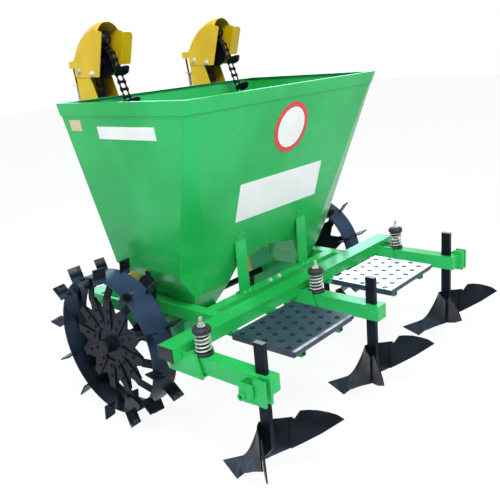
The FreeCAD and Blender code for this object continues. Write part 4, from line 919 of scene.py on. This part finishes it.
reach, drop = stage["floor"], stage["floorDrop"]
floorMesh = bpy.data.meshes.new("floor")
corners = [(-reach, -reach, drop), (reach, -reach, drop), (reach, reach, drop), (-reach, reach, drop)]
floorMesh.from_pydata(corners, [], [(0, 1, 2, 3)])
floorMesh.materials.append(makeFloor())
floor = bpy.data.objects.new("floor", floorMesh)
scene.collection.objects.link(floor)

world = bpy.data.worlds.new("studio")
scene.world = world
world.use_nodes = True
soft = world.node_tree.nodes["Background"]
soft.inputs["Color"].default_value = stage["sky"]
soft.inputs["Strength"].default_value = stage["skyPower"]
seen = world.node_tree.nodes.new("ShaderNodeBackground")
seen.inputs["Color"].default_value = (1, 1, 1, 1)
seen.inputs["Strength"].default_value = 1.0
blend(world.node_tree, seenRay(world.node_tree), soft.outputs[0], seen.outputs[0], "World Output")


def stand(thing, across, up, out, spot):
    # The thing's own x, y and z axes are across, up and out, and its origin is the spot.
    axes = np.array([across, up, out]).T
    thing.matrix_world = Matrix([[*row, where] for row, where in zip(axes, spot)] + [[0, 0, 0, 1]])


lamps = {"key": {"spot": (-2.15, -2.8, 5.2), "size": 2.6, "power": 375, "tint": (1, 1, 1)},
         "side": {"spot": (-4.6, 0.8, 2.6), "size": 2.5, "power": 18, "tint": (1, 1, 1)},
         "sheen": {"spot": (2.9, 2.8, 2.4), "size": 3.8, "power": 100, "tint": (0.6, 0.88, 1.0)}}
for name, lamp in lamps.items():
    light = bpy.data.lights.new(name, "AREA")
    light.shape = "DISK"
    light.size = lamp["size"]
    light.energy = lamp["power"]
    light.color = lamp["tint"]
    holder = bpy.data.objects.new(name, light)
    holder.visible_camera = False
    scene.collection.objects.link(holder)
    out = unit(np.array(lamp["spot"]) - np.array(stage["lookedAt"]))
    across = unit(np.cross([0, 0, 1], out))
    stand(holder, across, np.cross(out, across), out, lamp["spot"])

view = {"spot": (-2.0387, -1.8006, 1.4167), "yaw": -47.58, "pitch": 17.71, "roll": -5.13, "lens": 46.05,
        "shiftX": -0.008, "shiftY": 0.011}
yaw, pitch, roll = (math.radians(view[key]) for key in ("yaw", "pitch", "roll"))
back = np.array([math.sin(yaw) * math.cos(pitch), -math.cos(yaw) * math.cos(pitch), math.sin(pitch)])
level = np.array([math.cos(yaw), math.sin(yaw), 0])
rise = np.cross(back, level)
camera = bpy.data.objects.new("camera", bpy.data.cameras.new("camera"))
scene.collection.objects.link(camera)
right = math.cos(roll) * level + math.sin(roll) * rise
stand(camera, right, np.cross(back, right), back, view["spot"])
camera.data.lens = view["lens"]
camera.data.shift_x = view["shiftX"]
camera.data.shift_y = view["shiftY"]
scene.camera = camera
scene.view_settings.view_transform = "Standard"
print("stage set")
